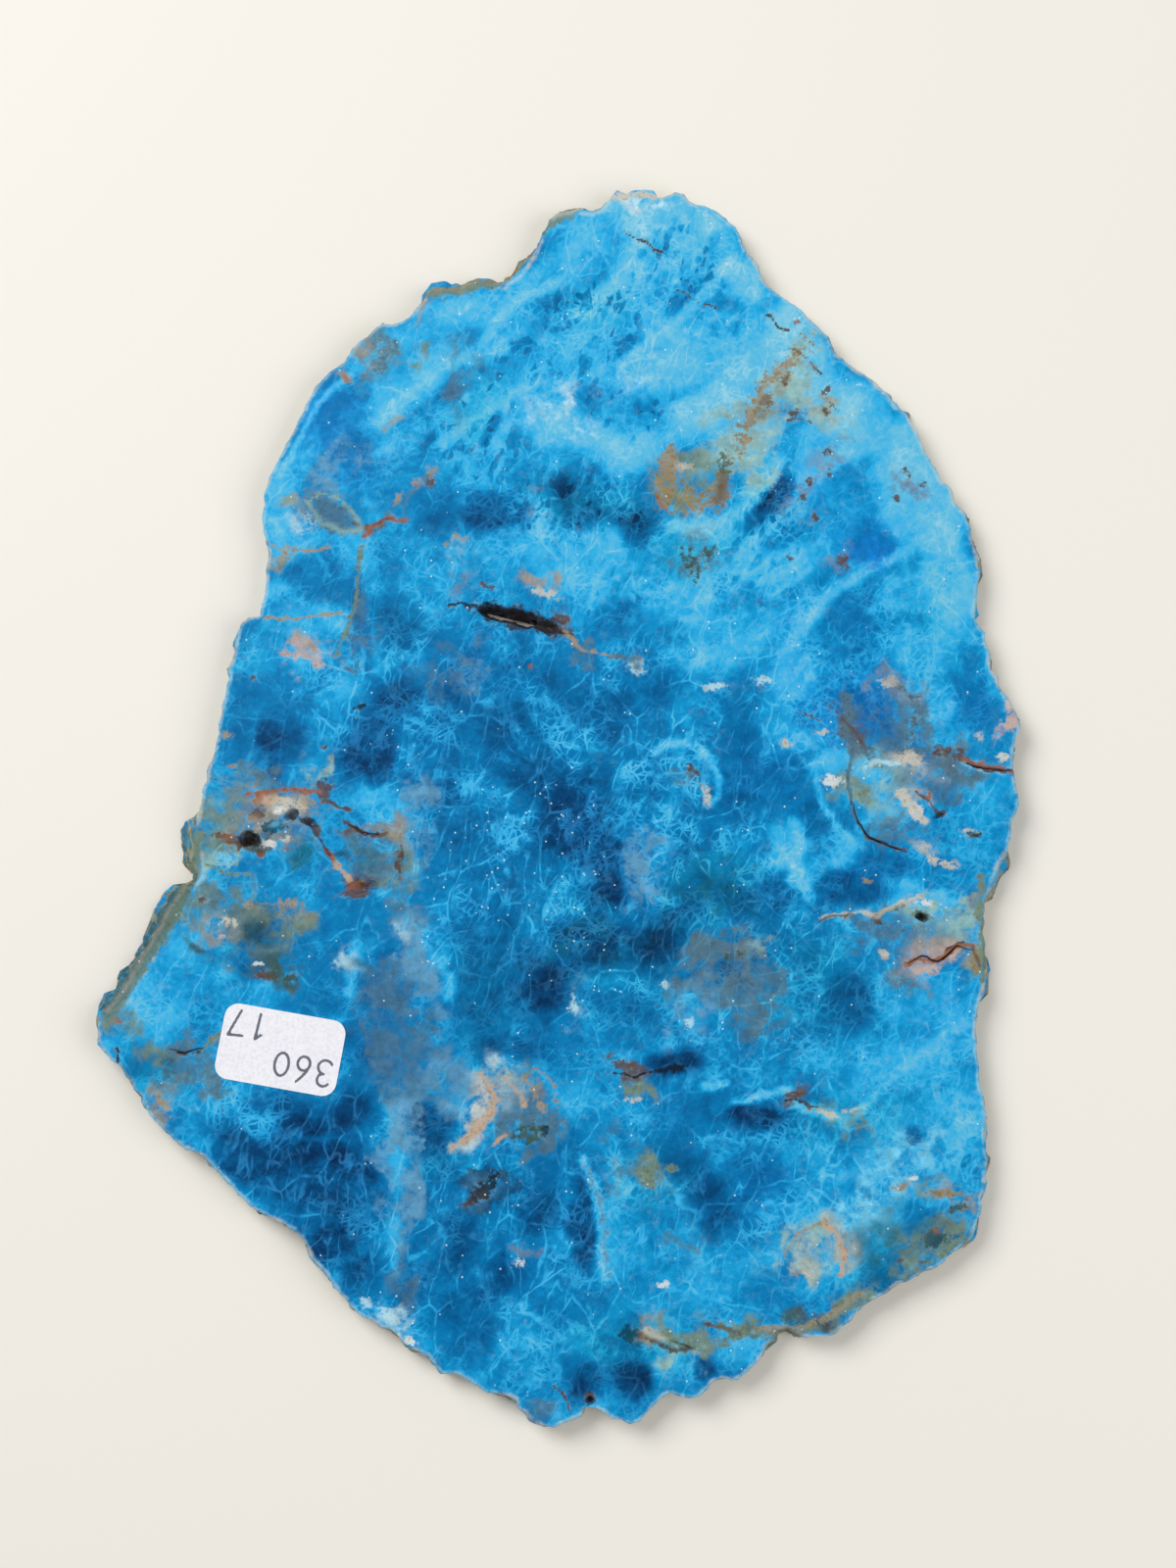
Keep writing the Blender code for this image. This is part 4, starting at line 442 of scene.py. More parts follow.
    (Tone.FROST, -30.5, -81.4, 1.5, 0.7, -40, 0.6),
)

# Thin stained lines and open hair cracks: the tone, half width, cover and route
VEINS = (
    (Tone.OLIVE, 1.1, 0.9, ((-22, 82.4), (-16, 83.4), (-12, 84.2), (-9, 87), (-6.5, 90.5), (-4, 94), (1, 96.6))),
    (Tone.OCHRE, 0.5, 0.8, ((-22, 82.8), (-16, 84), (-12.4, 84.8), (-9.6, 87.6))),
    (Tone.BONE, 0.5, 0.7, ((-2, 95.4), (2, 97), (6, 98.4), (12, 99.2), (16, 98.6))),
    (Tone.OLIVE, 0.7, 0.55, ((22, -88.6), (28, -85.8), (34, -86), (40, -84.6), (46, -80.6))),
    (Tone.OLIVE, 0.4, 0.6, ((53, -77.4), (58, -74.6), (63, -71))),
    (Tone.OLIVE, 0.9, 0.7, ((-58.4, -8), (-59.6, -13), (-61.4, -19), (-65.2, -26), (-69.4, -33), (-72, -38))),
    (Tone.MOSS, 1.5, 0.62, ((-60.6, -15.4), (-64.4, -22), (-68.8, -29), (-72.4, -35))),
    (Tone.TAN, 0.3, 0.55, ((-60.4, -16), (-64, -22.4), (-68, -29.4), (-72, -36))),
    (Tone.SAGE, 0.34, 0.5, ((-42, 46.6), (-40, 48), (-36.6, 47), (-33.8, 44.4), (-33, 42))),
    (Tone.SAGE, 0.34, 0.5, ((-33, 42), (-35.6, 41.4), (-39.4, 43), (-42, 46.6))),
    (Tone.BONE, 0.6, 0.8, ((54, -1.4), (55.4, -3.4), (57.4, -5.6))), (Tone.BROWN, 0.2, 0.6, ((56.6, -1), (58.4, -2.8), (60.2, -5.2))),
    (Tone.BONE, 0.3, 0.55, ((41, -21.4), (46, -20.4), (50, -21), (54, -18.8), (57, -18))),
    (Tone.GREY, 0.8, 0.7, ((45.4, 14.4), (46, 11), (45.2, 8.4), (47.4, 6), (50, 4.6))),
    (Tone.GREY, 0.7, 0.36, ((52, 17.6), (56, 15), (57, 11), (56, 7))),
    (Tone.TAN, 0.4, 0.55, ((30, -85), (36, -85.4), (41, -83.4), (46, -80))),
    (Tone.OLIVE, 0.5, 0.7, ((66.6, -15), (66, -20), (66.8, -25), (66.4, -31))),
    (Tone.RUST, 0.36, 0.8, ((-32.6, 40.6), (-31.2, 42.6), (-29.4, 43.6), (-26, 43.6))), (Tone.UMBER, 0.16, 0.6, ((-31, 42.8), (-29.4, 43.6), (-28, 43.6))),
    (Tone.TAN, 0.22, 0.7, ((-49, 40), (-47, 39), (-45, 38))),
    (Tone.TAN, 0.21, 0.7, ((-44, 38.5), (-41, 38.4), (-38, 39))),
    (Tone.TAN, 0.26, 0.8, ((-48.4, 27.3), (-44, 27), (-40, 27.8), (-36, 28))),
    (Tone.OLIVE, 0.34, 0.6, ((-33, 39), (-33.5, 35), (-33.6, 30), (-34.5, 27), (-37, 21))),
    (Tone.TAN, 0.4, 0.45, ((-19.4, 39.4), (-17.6, 40.8), (-15, 40.2), (-13.8, 38.8))),
    (Tone.SHADOW, 0.17, 0.9, ((-18.5, 29.5), (-16.4, 29.8), (-14, 29.2))),
    (Tone.SHADOW, 0.16, 0.9, ((-2, 25.6), (0, 24.6), (1.5, 24.3))),
    (Tone.TAN, 0.22, 0.7, ((0, 25), (3, 22), (8, 21))), (Tone.GREY, 0.45, 0.6, ((8, 21), (12, 20.4))),
    (Tone.RUST, 0.26, 0.9, ((-50.5, -1.6), (-47, -1.2), (-43, -0.8), (-39, -1.2))),
    (Tone.OLIVE, 0.22, 0.6, ((-57, -13), (-54, -14.2), (-50, -14.5))),
    (Tone.SAGE, 0.20, 0.6, ((-56, -11.5), (-54.6, -9.6), (-52.4, -10), (-52, -12), (-54, -13.6), (-56, -11.5))),
    (Tone.BROWN, 0.24, 0.9, ((-38, -2.6), (-36, -3.6), (-34.4, -3.8))),
    (Tone.UMBER, 0.2, 0.8, ((-41, -6), (-39.6, -7.4), (-38.4, -9.6), (-37.4, -11.4))),
    (Tone.BROWN, 0.26, 0.85, ((-34.8, -6), (-33, -7.4), (-30.8, -8.2), (-28.4, -8))),
    (Tone.BROWN, 0.16, 0.7, ((-26, -9.6), (-25.4, -12), (-26.4, -15))),
    (Tone.UMBER, 0.15, 0.7, ((-61, -42.6), (-58.6, -42.8), (-56.6, -42))), (Tone.OLIVE, 0.3, 0.6, ((-57, -42.2), (-55.4, -40.8), (-54, -39.6))),
    (Tone.SHADOW, 0.17, 0.8, ((-70.2, -42), (-70.2, -44))),
    (Tone.PEACH, 0.5, 0.62, ((-13, -46), (-11.4, -48), (-10.5, -50), (-12, -53), (-15, -56), (-17.4, -57.6))),
    (Tone.PEACH, 0.32, 0.6, ((-9, -46.5), (-7.4, -48.4), (-6, -51))),
    (Tone.TAN, 0.3, 0.6, ((-6, -46.8), (-4, -49), (-3.3, -52))),
    (Tone.PEACH, 0.22, 0.7, ((-11, -57), (-9, -55.5))),
    (Tone.TAN, 0.21, 0.6, ((-5, -44.6), (-1.6, -47.6), (-0.8, -52))),
    (Tone.PEACH, 0.36, 0.65, ((40.6, -68.8), (42.6, -70.6), (43.6, -73.6), (43.4, -77))),
    (Tone.TAN, 0.25, 0.5, ((34.4, -74), (36, -71.4), (39, -69.4), (41, -68.8))),
    (Tone.BROWN, 0.17, 0.8, ((44, 12), (46, 9.6), (48.5, 6))), (Tone.BROWN, 0.16, 0.6, ((38, 11.6), (41, 10.4))),
    (Tone.GREY, 0.3, 0.8, ((46.4, 5), (45.4, 1), (46, -3), (47.2, -6.6), (48.6, -8.6))),
    (Tone.BROWN, 0.18, 0.8, ((48.6, -8.6), (51, -9.6), (54.6, -10.6))), (Tone.FROST, 0.4, 0.7, ((48.4, 3), (50.6, 3.8), (53.2, 3.4))),
    (Tone.UMBER, 0.18, 0.9, ((65, 3.2), (67.4, 2.5), (71, 2.0))),
    (Tone.RUST, 0.32, 0.8, ((64.4, 4), (66.8, 3.1), (70, 2.6), (72, 2))),
    (Tone.SHADOW, 0.16, 0.8, ((40.5, -22), (42, -21.3), (45.5, -20.7))),
    (Tone.SHADOW, 0.18, 0.9, ((60.5, -26.8), (62, -25.8), (63.5, -25.2))),
    (Tone.RUST, 0.29, 0.9, ((54, -29), (56.5, -27.8), (58.5, -28.5), (60.5, -27.5), (62.5, -25.8), (65, -26))),
    (Tone.BROWN, 0.18, 0.8, ((65, -26), (66, -29))),
    (Tone.UMBER, 0.17, 0.9, ((33.5, 78.5), (35.5, 76), (37, 75.3))),
    (Tone.UMBER, 0.14, 0.8, ((36.5, 72.8), (38, 72.3), (40, 71), (42.5, 68))),
    (Tone.UMBER, 0.13, 0.8, ((43, 64.3), (45, 62))), (Tone.BROWN, 0.18, 0.6, ((36, 60), (38, 60.6), (40.4, 60))),
    (Tone.UMBER, 0.13, 0.8, ((10, 92.5), (14.2, 90.2), (17, 88.5))),
    (Tone.UMBER, 0.13, 0.8, ((18.5, 83), (21, 81.2), (25, 79.5))),
    (Tone.RUST, 0.26, 0.5, ((15.2, 47.6), (15.8, 46), (17.2, 44.6))),
    (Tone.OCHRE, 1.5, 0.33, ((28.6, 55), (30, 60), (32.6, 65), (36, 69.6), (39.6, 73.4))),
    (Tone.TAN, 0.45, 0.45, ((29.4, 56), (30.8, 62), (33.4, 67), (37, 70.4), (41, 69.4))),
    (Tone.BROWN, 0.3, 0.6, ((12, -86), (14.4, -87.2), (16, -88.5))), (Tone.UMBER, 0.18, 0.8, ((15, -87.6), (17, -88.4), (20, -88.2))),
    (Tone.BROWN, 0.2, 0.7, ((22, -84.5), (25, -85), (27.5, -86))),
    (Tone.BROWN, 0.16, 0.8, ((-1.5, -94), (0.4, -95.4), (1, -97.5))),
    (Tone.LAVENDER, 0.34, 0.55, ((3.6, -60.5), (5.2, -65), (6.4, -70), (6.9, -77))),
    (Tone.SHADOW, 0.18, 0.8, ((8, -45.8), (11, -46.4), (14, -45.6), (19.4, -44.8))),
    (Tone.SHADOW, 0.16, 0.7, ((34.6, -50), (37.4, -50.4), (40, -51.2))),
)

# Where the fracture lines show: how strongly, the place, half lengths and turn
LINE_ZONES = (
    (1.0, 4, -6, 34, 30, 0), (1.0, -38, -62, 24, 14, -35), (0.9, -10, -70, 22, 22, 0), (0.9, -24, 14, 20, 16, 0),
    (0.9, 30, -28, 20, 18, 0), (0.8, 30, -60, 24, 16, 0), (0.35, 0, 62, 26, 12, 0), (0.6, 10, 82, 14, 14, 0),
    (0.3, 52, 52, 14, 20, 0), (0.9, 4, 45, 16, 7, 0), (0.5, 56, -52, 12, 16, 0), (0.5, -56, -34, 14, 12, 0),
    (1.0, 34, 46, 5, 8, -30), (0.6, 46, 20, 14, 12, 0), (0.2, -38, 60, 8, 9, 0), (0.3, -38, 45, 7, 7, 0),
)

# Where the pale stone is spotted with dark cells: how strongly, the place, half lengths and turn
SPOT_ZONES = (
    (1.0, 19, 87, 9, 8, 0), (1.0, 4, 78, 9, 8, 0), (0.6, 0, 70, 16, 8, 0), (0.8, 2, 46, 18, 6, 0),
    (0.8, -14, 58, 8, 11, 0), (0.7, 12, 62, 8, 5, 0), (0.5, 28, 38, 12, 8, 0), (0.5, 60, -60, 8, 10, 0),
    (0.5, 36, 48, 6, 9, 0), (0.3, 28, 76, 9, 5, 0), (0.35, 10, 32, 10, 6, 0),
)

# Where painted glints lie, small bright points of reflected light: how densely, the place, half lengths and turn
PAINTED_GLINT_ZONES = (
    (0.9, -12, -8, 12, 13, 0), (0.7, 0, -16, 12, 18, 0), (0.35, 24, -13, 8, 8, 0), (0.35, -22, 4, 10, 12, 0),
    (0.5, 3, -35, 5, 6, 0), (0.4, -24, -24, 6, 12, 0), (0.35, 60, -26, 9, 6, 0), (0.4, -46, -6, 8, 6, 0),
    (0.4, -12, -66, 10, 10, 0), (0.3, 14, -80, 12, 10, 0), (0.4, 54, -2, 8, 8, 0),
)


class Wire:
    """An output of a shader node, with the sums that the finishes write on it."""

    def __init__(self, shader: "Shader", socket: bpy.types.NodeSocket) -> None:
        """Keeps the socket and the shader that it belongs to."""
        self.shader = shader
        self.socket = socket

    def sum(self, operation: str, first: object, second: object = 0.0) -> "Wire":
        """Adds one Math node.

        Args:
            operation: The Math node's operation.
            first: Its first value or wire.
            second: Its second value or wire.

        Returns:
            The node's result.
        """
        return self.shader.node("ShaderNodeMath", {"operation": operation}, {0: first, 1: second})

    def __add__(self, other: object) -> "Wire":
        """Adds a value or a wire."""
        return self.sum("ADD", self, other)

    def __radd__(self, other: object) -> "Wire":
        """Adds the wire to a value."""
        return self.sum("ADD", other, self)

    def __sub__(self, other: object) -> "Wire":
        """Takes a value or a wire away."""
        return self.sum("SUBTRACT", self, other)

    def __rsub__(self, other: object) -> "Wire":
        """Takes the wire away from a value."""
        return self.sum("SUBTRACT", other, self)

    def __mul__(self, other: object) -> "Wire":
        """Multiplies by a value or a wire."""
        return self.sum("MULTIPLY", self, other)

    def __rmul__(self, other: object) -> "Wire":
        """Multiplies a value by the wire."""
        return self.sum("MULTIPLY", other, self)

    def at_most(self, other: object) -> "Wire":
        """Gives the smaller of the two."""
        return self.sum("MINIMUM", self, other)

    def at_least(self, other: object) -> "Wire":
        """Gives the larger of the two."""
        return self.sum("MAXIMUM", self, other)

    def step(self, low: float, high: float) -> "Wire":
        """Rises smoothly from 0 to 1.

        Args:
            low: The value where the rise starts.
            high: The value where it ends. A high below low makes it fall instead.

        Returns:
            The step, from 0 to 1.
        """
        settings = {"interpolation_type": "SMOOTHSTEP"}
        if low < high:
            values = {0: self, 1: low, 2: high, 3: 0.0, 4: 1.0}
        else:
            values = {0: self, 1: high, 2: low, 3: 1.0, 4: 0.0}
        return self.shader.node("ShaderNodeMapRange", settings, values)


class Shader:
    """A material under construction."""

    def __init__(self, name: str) -> None:
        """Makes an empty material with a Principled BSDF."""
        self.material = bpy.data.materials.new(name)
        self.material.use_nodes = True
        self.tree = self.material.node_tree
        self.surface = self.tree.nodes["Principled BSDF"]

    def plug(self, socket: bpy.types.NodeSocket, value: object) -> None:
        """Links a wire to a socket or sets its value.

        Args:
            socket: The input socket.
            value: A wire, a number or a colour.
        """
        if isinstance(value, Wire):
            self.tree.links.new(value.socket, socket)
        elif isinstance(value, tuple) and socket.type == "RGBA":
            socket.default_value = (*value[:3], 1.0)
        else:
            socket.default_value = value

    def node(self, kind: str, settings: Mapping = {}, values: Mapping = {}, output: object = 0) -> Wire:
        """Adds a node of any kind.

        Args:
            kind: The node's type name.
            settings: Its settings. "stops" gives a colour ramp's places and colours.
            values: What goes into its sockets, by number or name.
            output: The number or name of the output that is wanted.

        Returns:
            That output.
        """
        made = self.tree.nodes.new(kind)
        for key, value in settings.items():
            if key == "stops":
                self.set_stops(made.color_ramp, value)
            else:
                setattr(made, key, value)
        for key, value in values.items():
            self.plug(made.inputs[key], value)
        return Wire(self, made.outputs[output])

    @staticmethod
    def set_stops(ramp: bpy.types.ColorRamp, stops: Sequence[tuple[float, Colour]]) -> None:
        """Gives a colour ramp its stops.

        Args:
            ramp: The ramp.
            stops: Each stop's place and its colour as seen.
        """
        while len(ramp.elements) < len(stops):
            ramp.elements.new(1.0)
        for element, (place, colour) in zip(ramp.elements, stops):
            element.position = place
            element.color = (*linear(colour), 1.0)

    def finish(self, **values: object) -> bpy.types.Material:
        """Fills the surface's sockets and ends the material.

        Args:
            values: What goes into each socket, with _ for the spaces in its name.

        Returns:
            The material.
        """
        for name, value in values.items():
            self.plug(self.surface.inputs[name.replace("_", " ")], value)
        return self.material

    def place(self) -> Wire:
        """Gives the place on the object, in millimetres."""
        metres = self.node("ShaderNodeTexCoord", output="Object")
        return self.vector("SCALE", metres, scale=1 / MM)

    def vector(self, operation: str, first: object, second: object = (0.0, 0.0, 0.0), scale: float = 1.0) -> Wire:
        """Adds one Vector Math node.

        Args:
            operation: Its operation.
            first: Its first vector.
            second: Its second vector.
            scale: Its scale, where the operation has one.

        Returns:
            The vector that it gives.
        """
        values = {0: first, 1: second}
        if operation == "SCALE":
            values = {0: first, "Scale": scale}
        return self.node("ShaderNodeVectorMath", {"operation": operation}, values)

    def blend(self, first: object, second: object, share: object) -> Wire:
        """Mixes two colours.

        Args:
            first: The colour where the share is 0.
            second: The colour where it is 1.
            share: How much of the second colour.

        Returns:
            The mixed colour.
        """
        settings = {"data_type": "RGBA", "clamp_factor": True}
        return self.node("ShaderNodeMix", settings, {0: share, 6: first, 7: second}, 2)

    def noise(self, place: Wire, size: float, detail: float = 3.0, roughness: float = 0.55) -> Wire:
        """Gives cloudy noise.

        Args:
            place: Where it is read.
            size: The size of its features, in millimetres.
            detail: How many finer layers it has.
            roughness: How strong those are.

        Returns:
            The noise, about 0.5.
        """
        values = {"Vector": place, "Scale": 1 / size, "Detail": detail, "Roughness": roughness}
        return self.node("ShaderNodeTexNoise", {}, values, 0)

    def cells(self, place: Wire, size: float, feature: str = "F1", output: str = "Distance") -> Wire:
        """Gives a pattern of cells.

        Args:
            place: Where it is read.
            size: The cells' size, in millimetres.
            feature: What is measured in them.
            output: The output that is wanted.

        Returns:
            That measure.
        """
        values = {"Vector": place, "Scale": 1 / size}
        return self.node("ShaderNodeTexVoronoi", {"feature": feature}, values, output)

    def warp(self, place: Wire, size: float, reach: float) -> Wire:
        """Bends the place by noise.

        Args:
            place: The place.
            size: The size of the bends, in millimetres.
            reach: How far a place is moved.

        Returns:
            The bent place.
        """
        values = {"Vector": place, "Scale": 1 / size, "Detail": 2.0}
        drift = self.node("ShaderNodeTexNoise", {}, values, 1)
        centred = self.vector("SUBTRACT", drift, (0.5, 0.5, 0.5))
        return self.vector("ADD", place, self.vector("SCALE", centred, scale=2 * reach))

    def red(self, colour: Wire) -> Wire:
        """Gives a colour's red part."""
        return self.node("ShaderNodeSeparateColor", {}, {0: colour}, 0)

    def kept(self, name: str, output: str = "Fac") -> Wire:
        """Reads one of the mesh's own attributes.

        Args:
            name: The attribute's name.
            output: Fac for a number, Color or Alpha for a colour.

        Returns:
            Its value.
        """
        return self.node("ShaderNodeAttribute", {"attribute_name": name}, {}, output)


@dataclass(frozen=True)
class StoneFinish:
    """Sawn blue apatite with clouds, fracture lines, dark cells, stains and a rough rind."""

    blues: tuple[tuple[float, Colour], ...] = (
        (0.00, (0.00, 0.17, 0.33)),
        (0.15, (0.00, 0.27, 0.46)),
        (0.31, (0.00, 0.39, 0.61)),
        (0.46, (0.01, 0.48, 0.71)),
        (0.57, (0.06, 0.59, 0.815)),
        (0.66, (0.17, 0.675, 0.885)),
        (0.80, (0.37, 0.73, 0.87)),
        (1.00, (0.62, 0.83, 0.89)),
    )
    teal_tint: Colour = (1.0, 1.05, 0.87)
    violet_tint: Colour = (1.25, 0.90, 1.08)
    frost: Colour = (0.62, 0.80, 0.86)
    # the colour of the painted glints
    white: Colour = (0.88, 0.93, 0.94)
    rind_tones: tuple[tuple[float, Colour], ...] = (
        (0.30, (0.22, 0.30, 0.32)),
        (0.42, (0.40, 0.40, 0.33)),
        (0.48, (0.60, 0.54, 0.40)),
        (0.55, (0.50, 0.58, 0.52)),
        (0.62, (0.68, 0.60, 0.46)),
        (0.72, (0.82, 0.83, 0.77)),
    )
    patch_size: float = 5.5
    wisp_size: float = 2.6

    @staticmethod
    def drawn_out(shader: Shader, place: Wire, turn: float, stretch: float) -> Wire:
        """Draws the place out in one direction, so that patterns read there run along it.

        Args:
            shader: The material under construction.
            place: The place.
            turn: The direction, in degrees.
            stretch: How much it is drawn out.

        Returns:
            The drawn out place.
        """
        values = {"Vector": place, "Rotation": (0.0, 0.0, math.radians(turn)), "Scale": (stretch, 1.0, 1.0)}
        return shader.node("ShaderNodeMapping", {"vector_type": "TEXTURE"}, values)

    def walls(self, shader: Shader, place: Wire, size: float, turn: float, half_width: float) -> Wire:
        """Gives thin straight lines between cells.

        Args:
            shader: The material under construction.
            place: Where they are read.
            size: The cells' size, in millimetres.
            turn: The direction in which the cells are longest, in degrees.
            half_width: The lines' half width, in millimetres.

        Returns:
            The lines, from 0 to 1, with a soft edge.
        """
        gap = shader.cells(self.drawn_out(shader, place, turn, 1.6), size, "DISTANCE_TO_EDGE")
        return gap.step(1.7 * half_width / size, 0.3 * half_width / size)

    def fibres(self, shader: Shader, place: Wire, size: float, turn: float, stretch: float) -> Wire:
        """Gives long, nearly straight lines that run side by side.

        Args:
            shader: The material under construction.
            place: Where they are read.
            size: The distance between them, in millimetres.
            turn: Their direction, in degrees.
            stretch: How straight they are.

        Returns:
            The lines, from 0 to 1.
        """
        slope = shader.noise(self.drawn_out(shader, place, turn, stretch), size, 1.0, 0.4) - 0.5
        return slope.sum("ABSOLUTE", slope).step(0.028, 0.004)

    def fractures(self, shader: Shader, bent: Wire, crumpled: Wire) -> Wire:
        """Gives the pale fracture lines, crowded in some places and single in others.

        Args:
            shader: The material under construction.
            bent: The place, a little bent.
            crumpled: The same place with finer bends.

        Returns:
            The lines, from 0 to 1.
        """
        crowded = shader.noise(bent, 6.5, 4.0, 0.6).step(0.44, 0.60)
        faint = shader.noise(crumpled, 2.6, 3.0, 0.6).step(0.34, 0.62)
        net = self.walls(shader, bent, 6.2, 62.0, 0.12) * (0.08 + 0.75 * faint)
        net = net.at_least(self.walls(shader, crumpled, 2.9, -24.0, 0.12) * (0.15 + 0.75 * crowded) * faint)
        net = net.at_least(self.fibres(shader, bent, 3.0, 76.0, 4.0) * faint * 0.75)
        net = net.at_least(self.fibres(shader, bent, 3.4, -38.0, 3.0) * faint * crowded * 0.8)
        fine = self.walls(shader, crumpled, 1.2, 40.0, 0.10)
        return net.at_least(fine * crowded * (0.35 + 0.45 * faint))

    def dark_cells(self, shader: Shader, place: Wire) -> Wire:
        """Gives the clear blue cells that lie here and there in the milky stone.

        Args:
            shader: The material under construction.
            place: Where they are read.

        Returns:
            The cells, from 0 to 1.
        """
        cells = 0.0
        for size, chance in ((2.7, 0.62), (1.1, 0.72)):
            turned = self.drawn_out(shader, place, 68.0, 1.9)
            inside = shader.cells(turned, size, "DISTANCE_TO_EDGE").step(0.09, 0.16)
            drawn = (shader.red(shader.cells(turned, size, output="Color")) - chance).step(0.0, 0.12)
            cells = (inside * drawn).at_least(cells)
        return cells

    def milkiness(self, shader: Shader, bent: Wire, crumpled: Wire, net: Wire) -> Wire:
        """Adds clouds, fracture lines and dark cells to the painted zones.

        Args:
            shader: The material under construction.
            bent: Not used.
            crumpled: The same place with finer bends.
            net: The fracture lines.

        Returns:
            How milky the stone is, from 0 to 1.
        """
        painted = shader.kept("milk")
        patches = shader.noise(crumpled, self.patch_size, 8.0, 0.66).step(0.34, 0.66) - 0.5
        wisps = shader.noise(self.drawn_out(shader, crumpled, 42.0, 3.0), self.wisp_size, 6.0, 0.66) - 0.5
        grain = shader.noise(crumpled, 0.7, 3.0, 0.7) - 0.5
        facets = shader.red(shader.cells(crumpled, 1.7, output="Color")) - 0.5
        strength = (0.55 + 0.55 * shader.kept("lines")) * (1.12 - 0.72 * painted)
        body = painted + strength * (0.22 * patches + 0.36 * wisps)
        mist = 0.15 * grain + 0.06 * facets
        spots = shader.kept("spots") * self.dark_cells(shader, crumpled)
        return body + mist + shader.kept("lines") * (0.30 * net - 0.045) - 0.24 * spots

    def stone_colour(self, shader: Shader, place: Wire) -> Wire:
        """Gives the stone's colour away from its rind, with painted shade in its hollows and painted glints.

        Args:
            shader: The material under construction.
            place: The place on the stone, in millimetres.

        Returns:
            The colour.
        """
        bent = shader.warp(place, 5.0, 1.1)
        crumpled = shader.warp(bent, 1.1, 0.28)
        net = self.fractures(shader, bent, crumpled)
        milk = self.milkiness(shader, bent, crumpled, net)
        colour = shader.node("ShaderNodeValToRGB", {"stops": self.blues}, {0: milk}, 0)
        hue = shader.kept("hue") + 0.8 * (shader.noise(place, 6.0, 3.0) - 0.5)
        tint = shader.blend(self.teal_tint, self.violet_tint, 0.5 + 0.5 * hue)
        colour = shader.vector("MULTIPLY", colour, shader.blend((1.0, 1.0, 1.0), tint, hue.sum("ABSOLUTE", hue)))
        mottle = shader.noise(shader.warp(place, 1.6, 0.5), 2.2, 5.0, 0.68)
        fleck = shader.noise(place, 0.75, 3.0, 0.6)
        ragged = shader.noise(crumpled, 4.0, 7.0, 0.68)
        veil = shader.kept("veil", "Alpha")
        spread = ragged.step(0.36, 0.64) - 0.5
        torn = ((veil * 1.3).at_most(0.85) + 0.9 * spread + 1.0 * (fleck - 0.5)).step(0.15, 1.05)
        veil = torn * veil.step(0.0, 0.4) * 0.9
        haze = shader.vector("SCALE", shader.kept("veil", "Color"), scale=0.15 + 1.7 * mottle)
        colour = shader.blend(colour, haze, veil)
        frosting = shader.noise(crumpled, 1.5, 5.0, 0.7).step(0.50, 0.72) * shader.kept("milk").step(0.35, 0.80)
        colour = shader.blend(colour, linear(self.frost), frosting * 0.35)
        colour = shader.blend(colour, linear(self.frost), net * shader.kept("lines") * 0.06)
        laid = shader.kept("stain", "Alpha")
        stain = laid + 1.2 * (mottle - 0.5) + 1.9 * (fleck - 0.5)
        halo = laid.step(0.02, 0.25) * mottle.step(0.48, 0.62)
        colour = shader.blend(colour, linear(self.frost), halo * 0.18)
        dark = shader.vector("SCALE", shader.kept("stain", "Color"), scale=0.5)
        shade = shader.blend(shader.kept("stain", "Color"), dark, fleck.step(0.52, 0.66) * 0.6)
        colour = shader.blend(colour, shade, stain.step(0.22, 0.60) * 0.88 * laid.step(0.0, 0.15))
        # painted glints: small white points of reflected light laid into the colour
        glint_dots = shader.cells(place, 0.85).step(0.24, 0.09)
        lottery = shader.red(shader.cells(place, 0.85, output="Color"))
        bunched = shader.noise(bent, 2.6, 2.0).step(0.46, 0.60)
        glints_shown = (shader.kept("painted_glints") * (0.10 + 0.65 * bunched) - lottery).step(0.0, 0.02)
        colour = shader.blend(colour, linear(self.white), glint_dots * glints_shown * 0.8)
        # painted shade in the pits, cracks and slot, over the brown of their walls
        return shader.blend(colour, linear(Tone.UMBER.value), shader.kept("hollow_shade_and_brown") * 0.66)

    def build(self) -> bpy.types.Material:
        """Makes the stone's material."""
        shader = Shader("blue_apatite")
        place = shader.place()
        colour = self.stone_colour(shader, place)
        rough = shader.noise(shader.warp(place, 2.0, 0.8), 2.4, 5.0, 0.65)
        # the sawn face's outer edge: its pale chipped rim with a painted glow of light along it
        rim = shader.kept("rim") * (0.1 + 1.5 * shader.noise(place, 1.2, 3.0))
        rim = rim * (1.0 - shader.kept("stain", "Alpha"))
        rim_tone = shader.noise(place, 5.0, 3.0).step(0.48, 0.60)
        pale_rim_and_glow_colour = shader.blend(linear(self.frost), linear(Tone.BONE.value), rim_tone)
        colour = shader.blend(colour, pale_rim_and_glow_colour, rim.step(0.35, 1.0) * 0.7)
        rind = shader.kept("rind")
        rind_colour = shader.node("ShaderNodeValToRGB", {"stops": self.rind_tones}, {0: rough}, 0)
        covered = (rind + 0.9 * (shader.noise(place, 4.5, 4.0) - 0.5)).step(0.48, 0.66)
        colour = shader.blend(colour, rind_colour, covered)
        depth = rough * (0.05 + 0.55 * rind) + 0.05 * shader.noise(place, 0.35, 2.0)
        depth = depth - 0.25 * shader.kept("stain", "Alpha") * shader.noise(place, 0.8, 3.0)
        bump = shader.node(
            "ShaderNodeBump", {}, {"Strength": 0.5, "Distance": 0.4 * MM, "Height": depth}, "Normal"
        )
        return shader.finish(
            Base_Color=colour,
            Roughness=0.36 + 0.34 * covered + 0.16 * (rough - 0.5),
            Normal=bump,
            Specular_IOR_Level=0.08,
        )


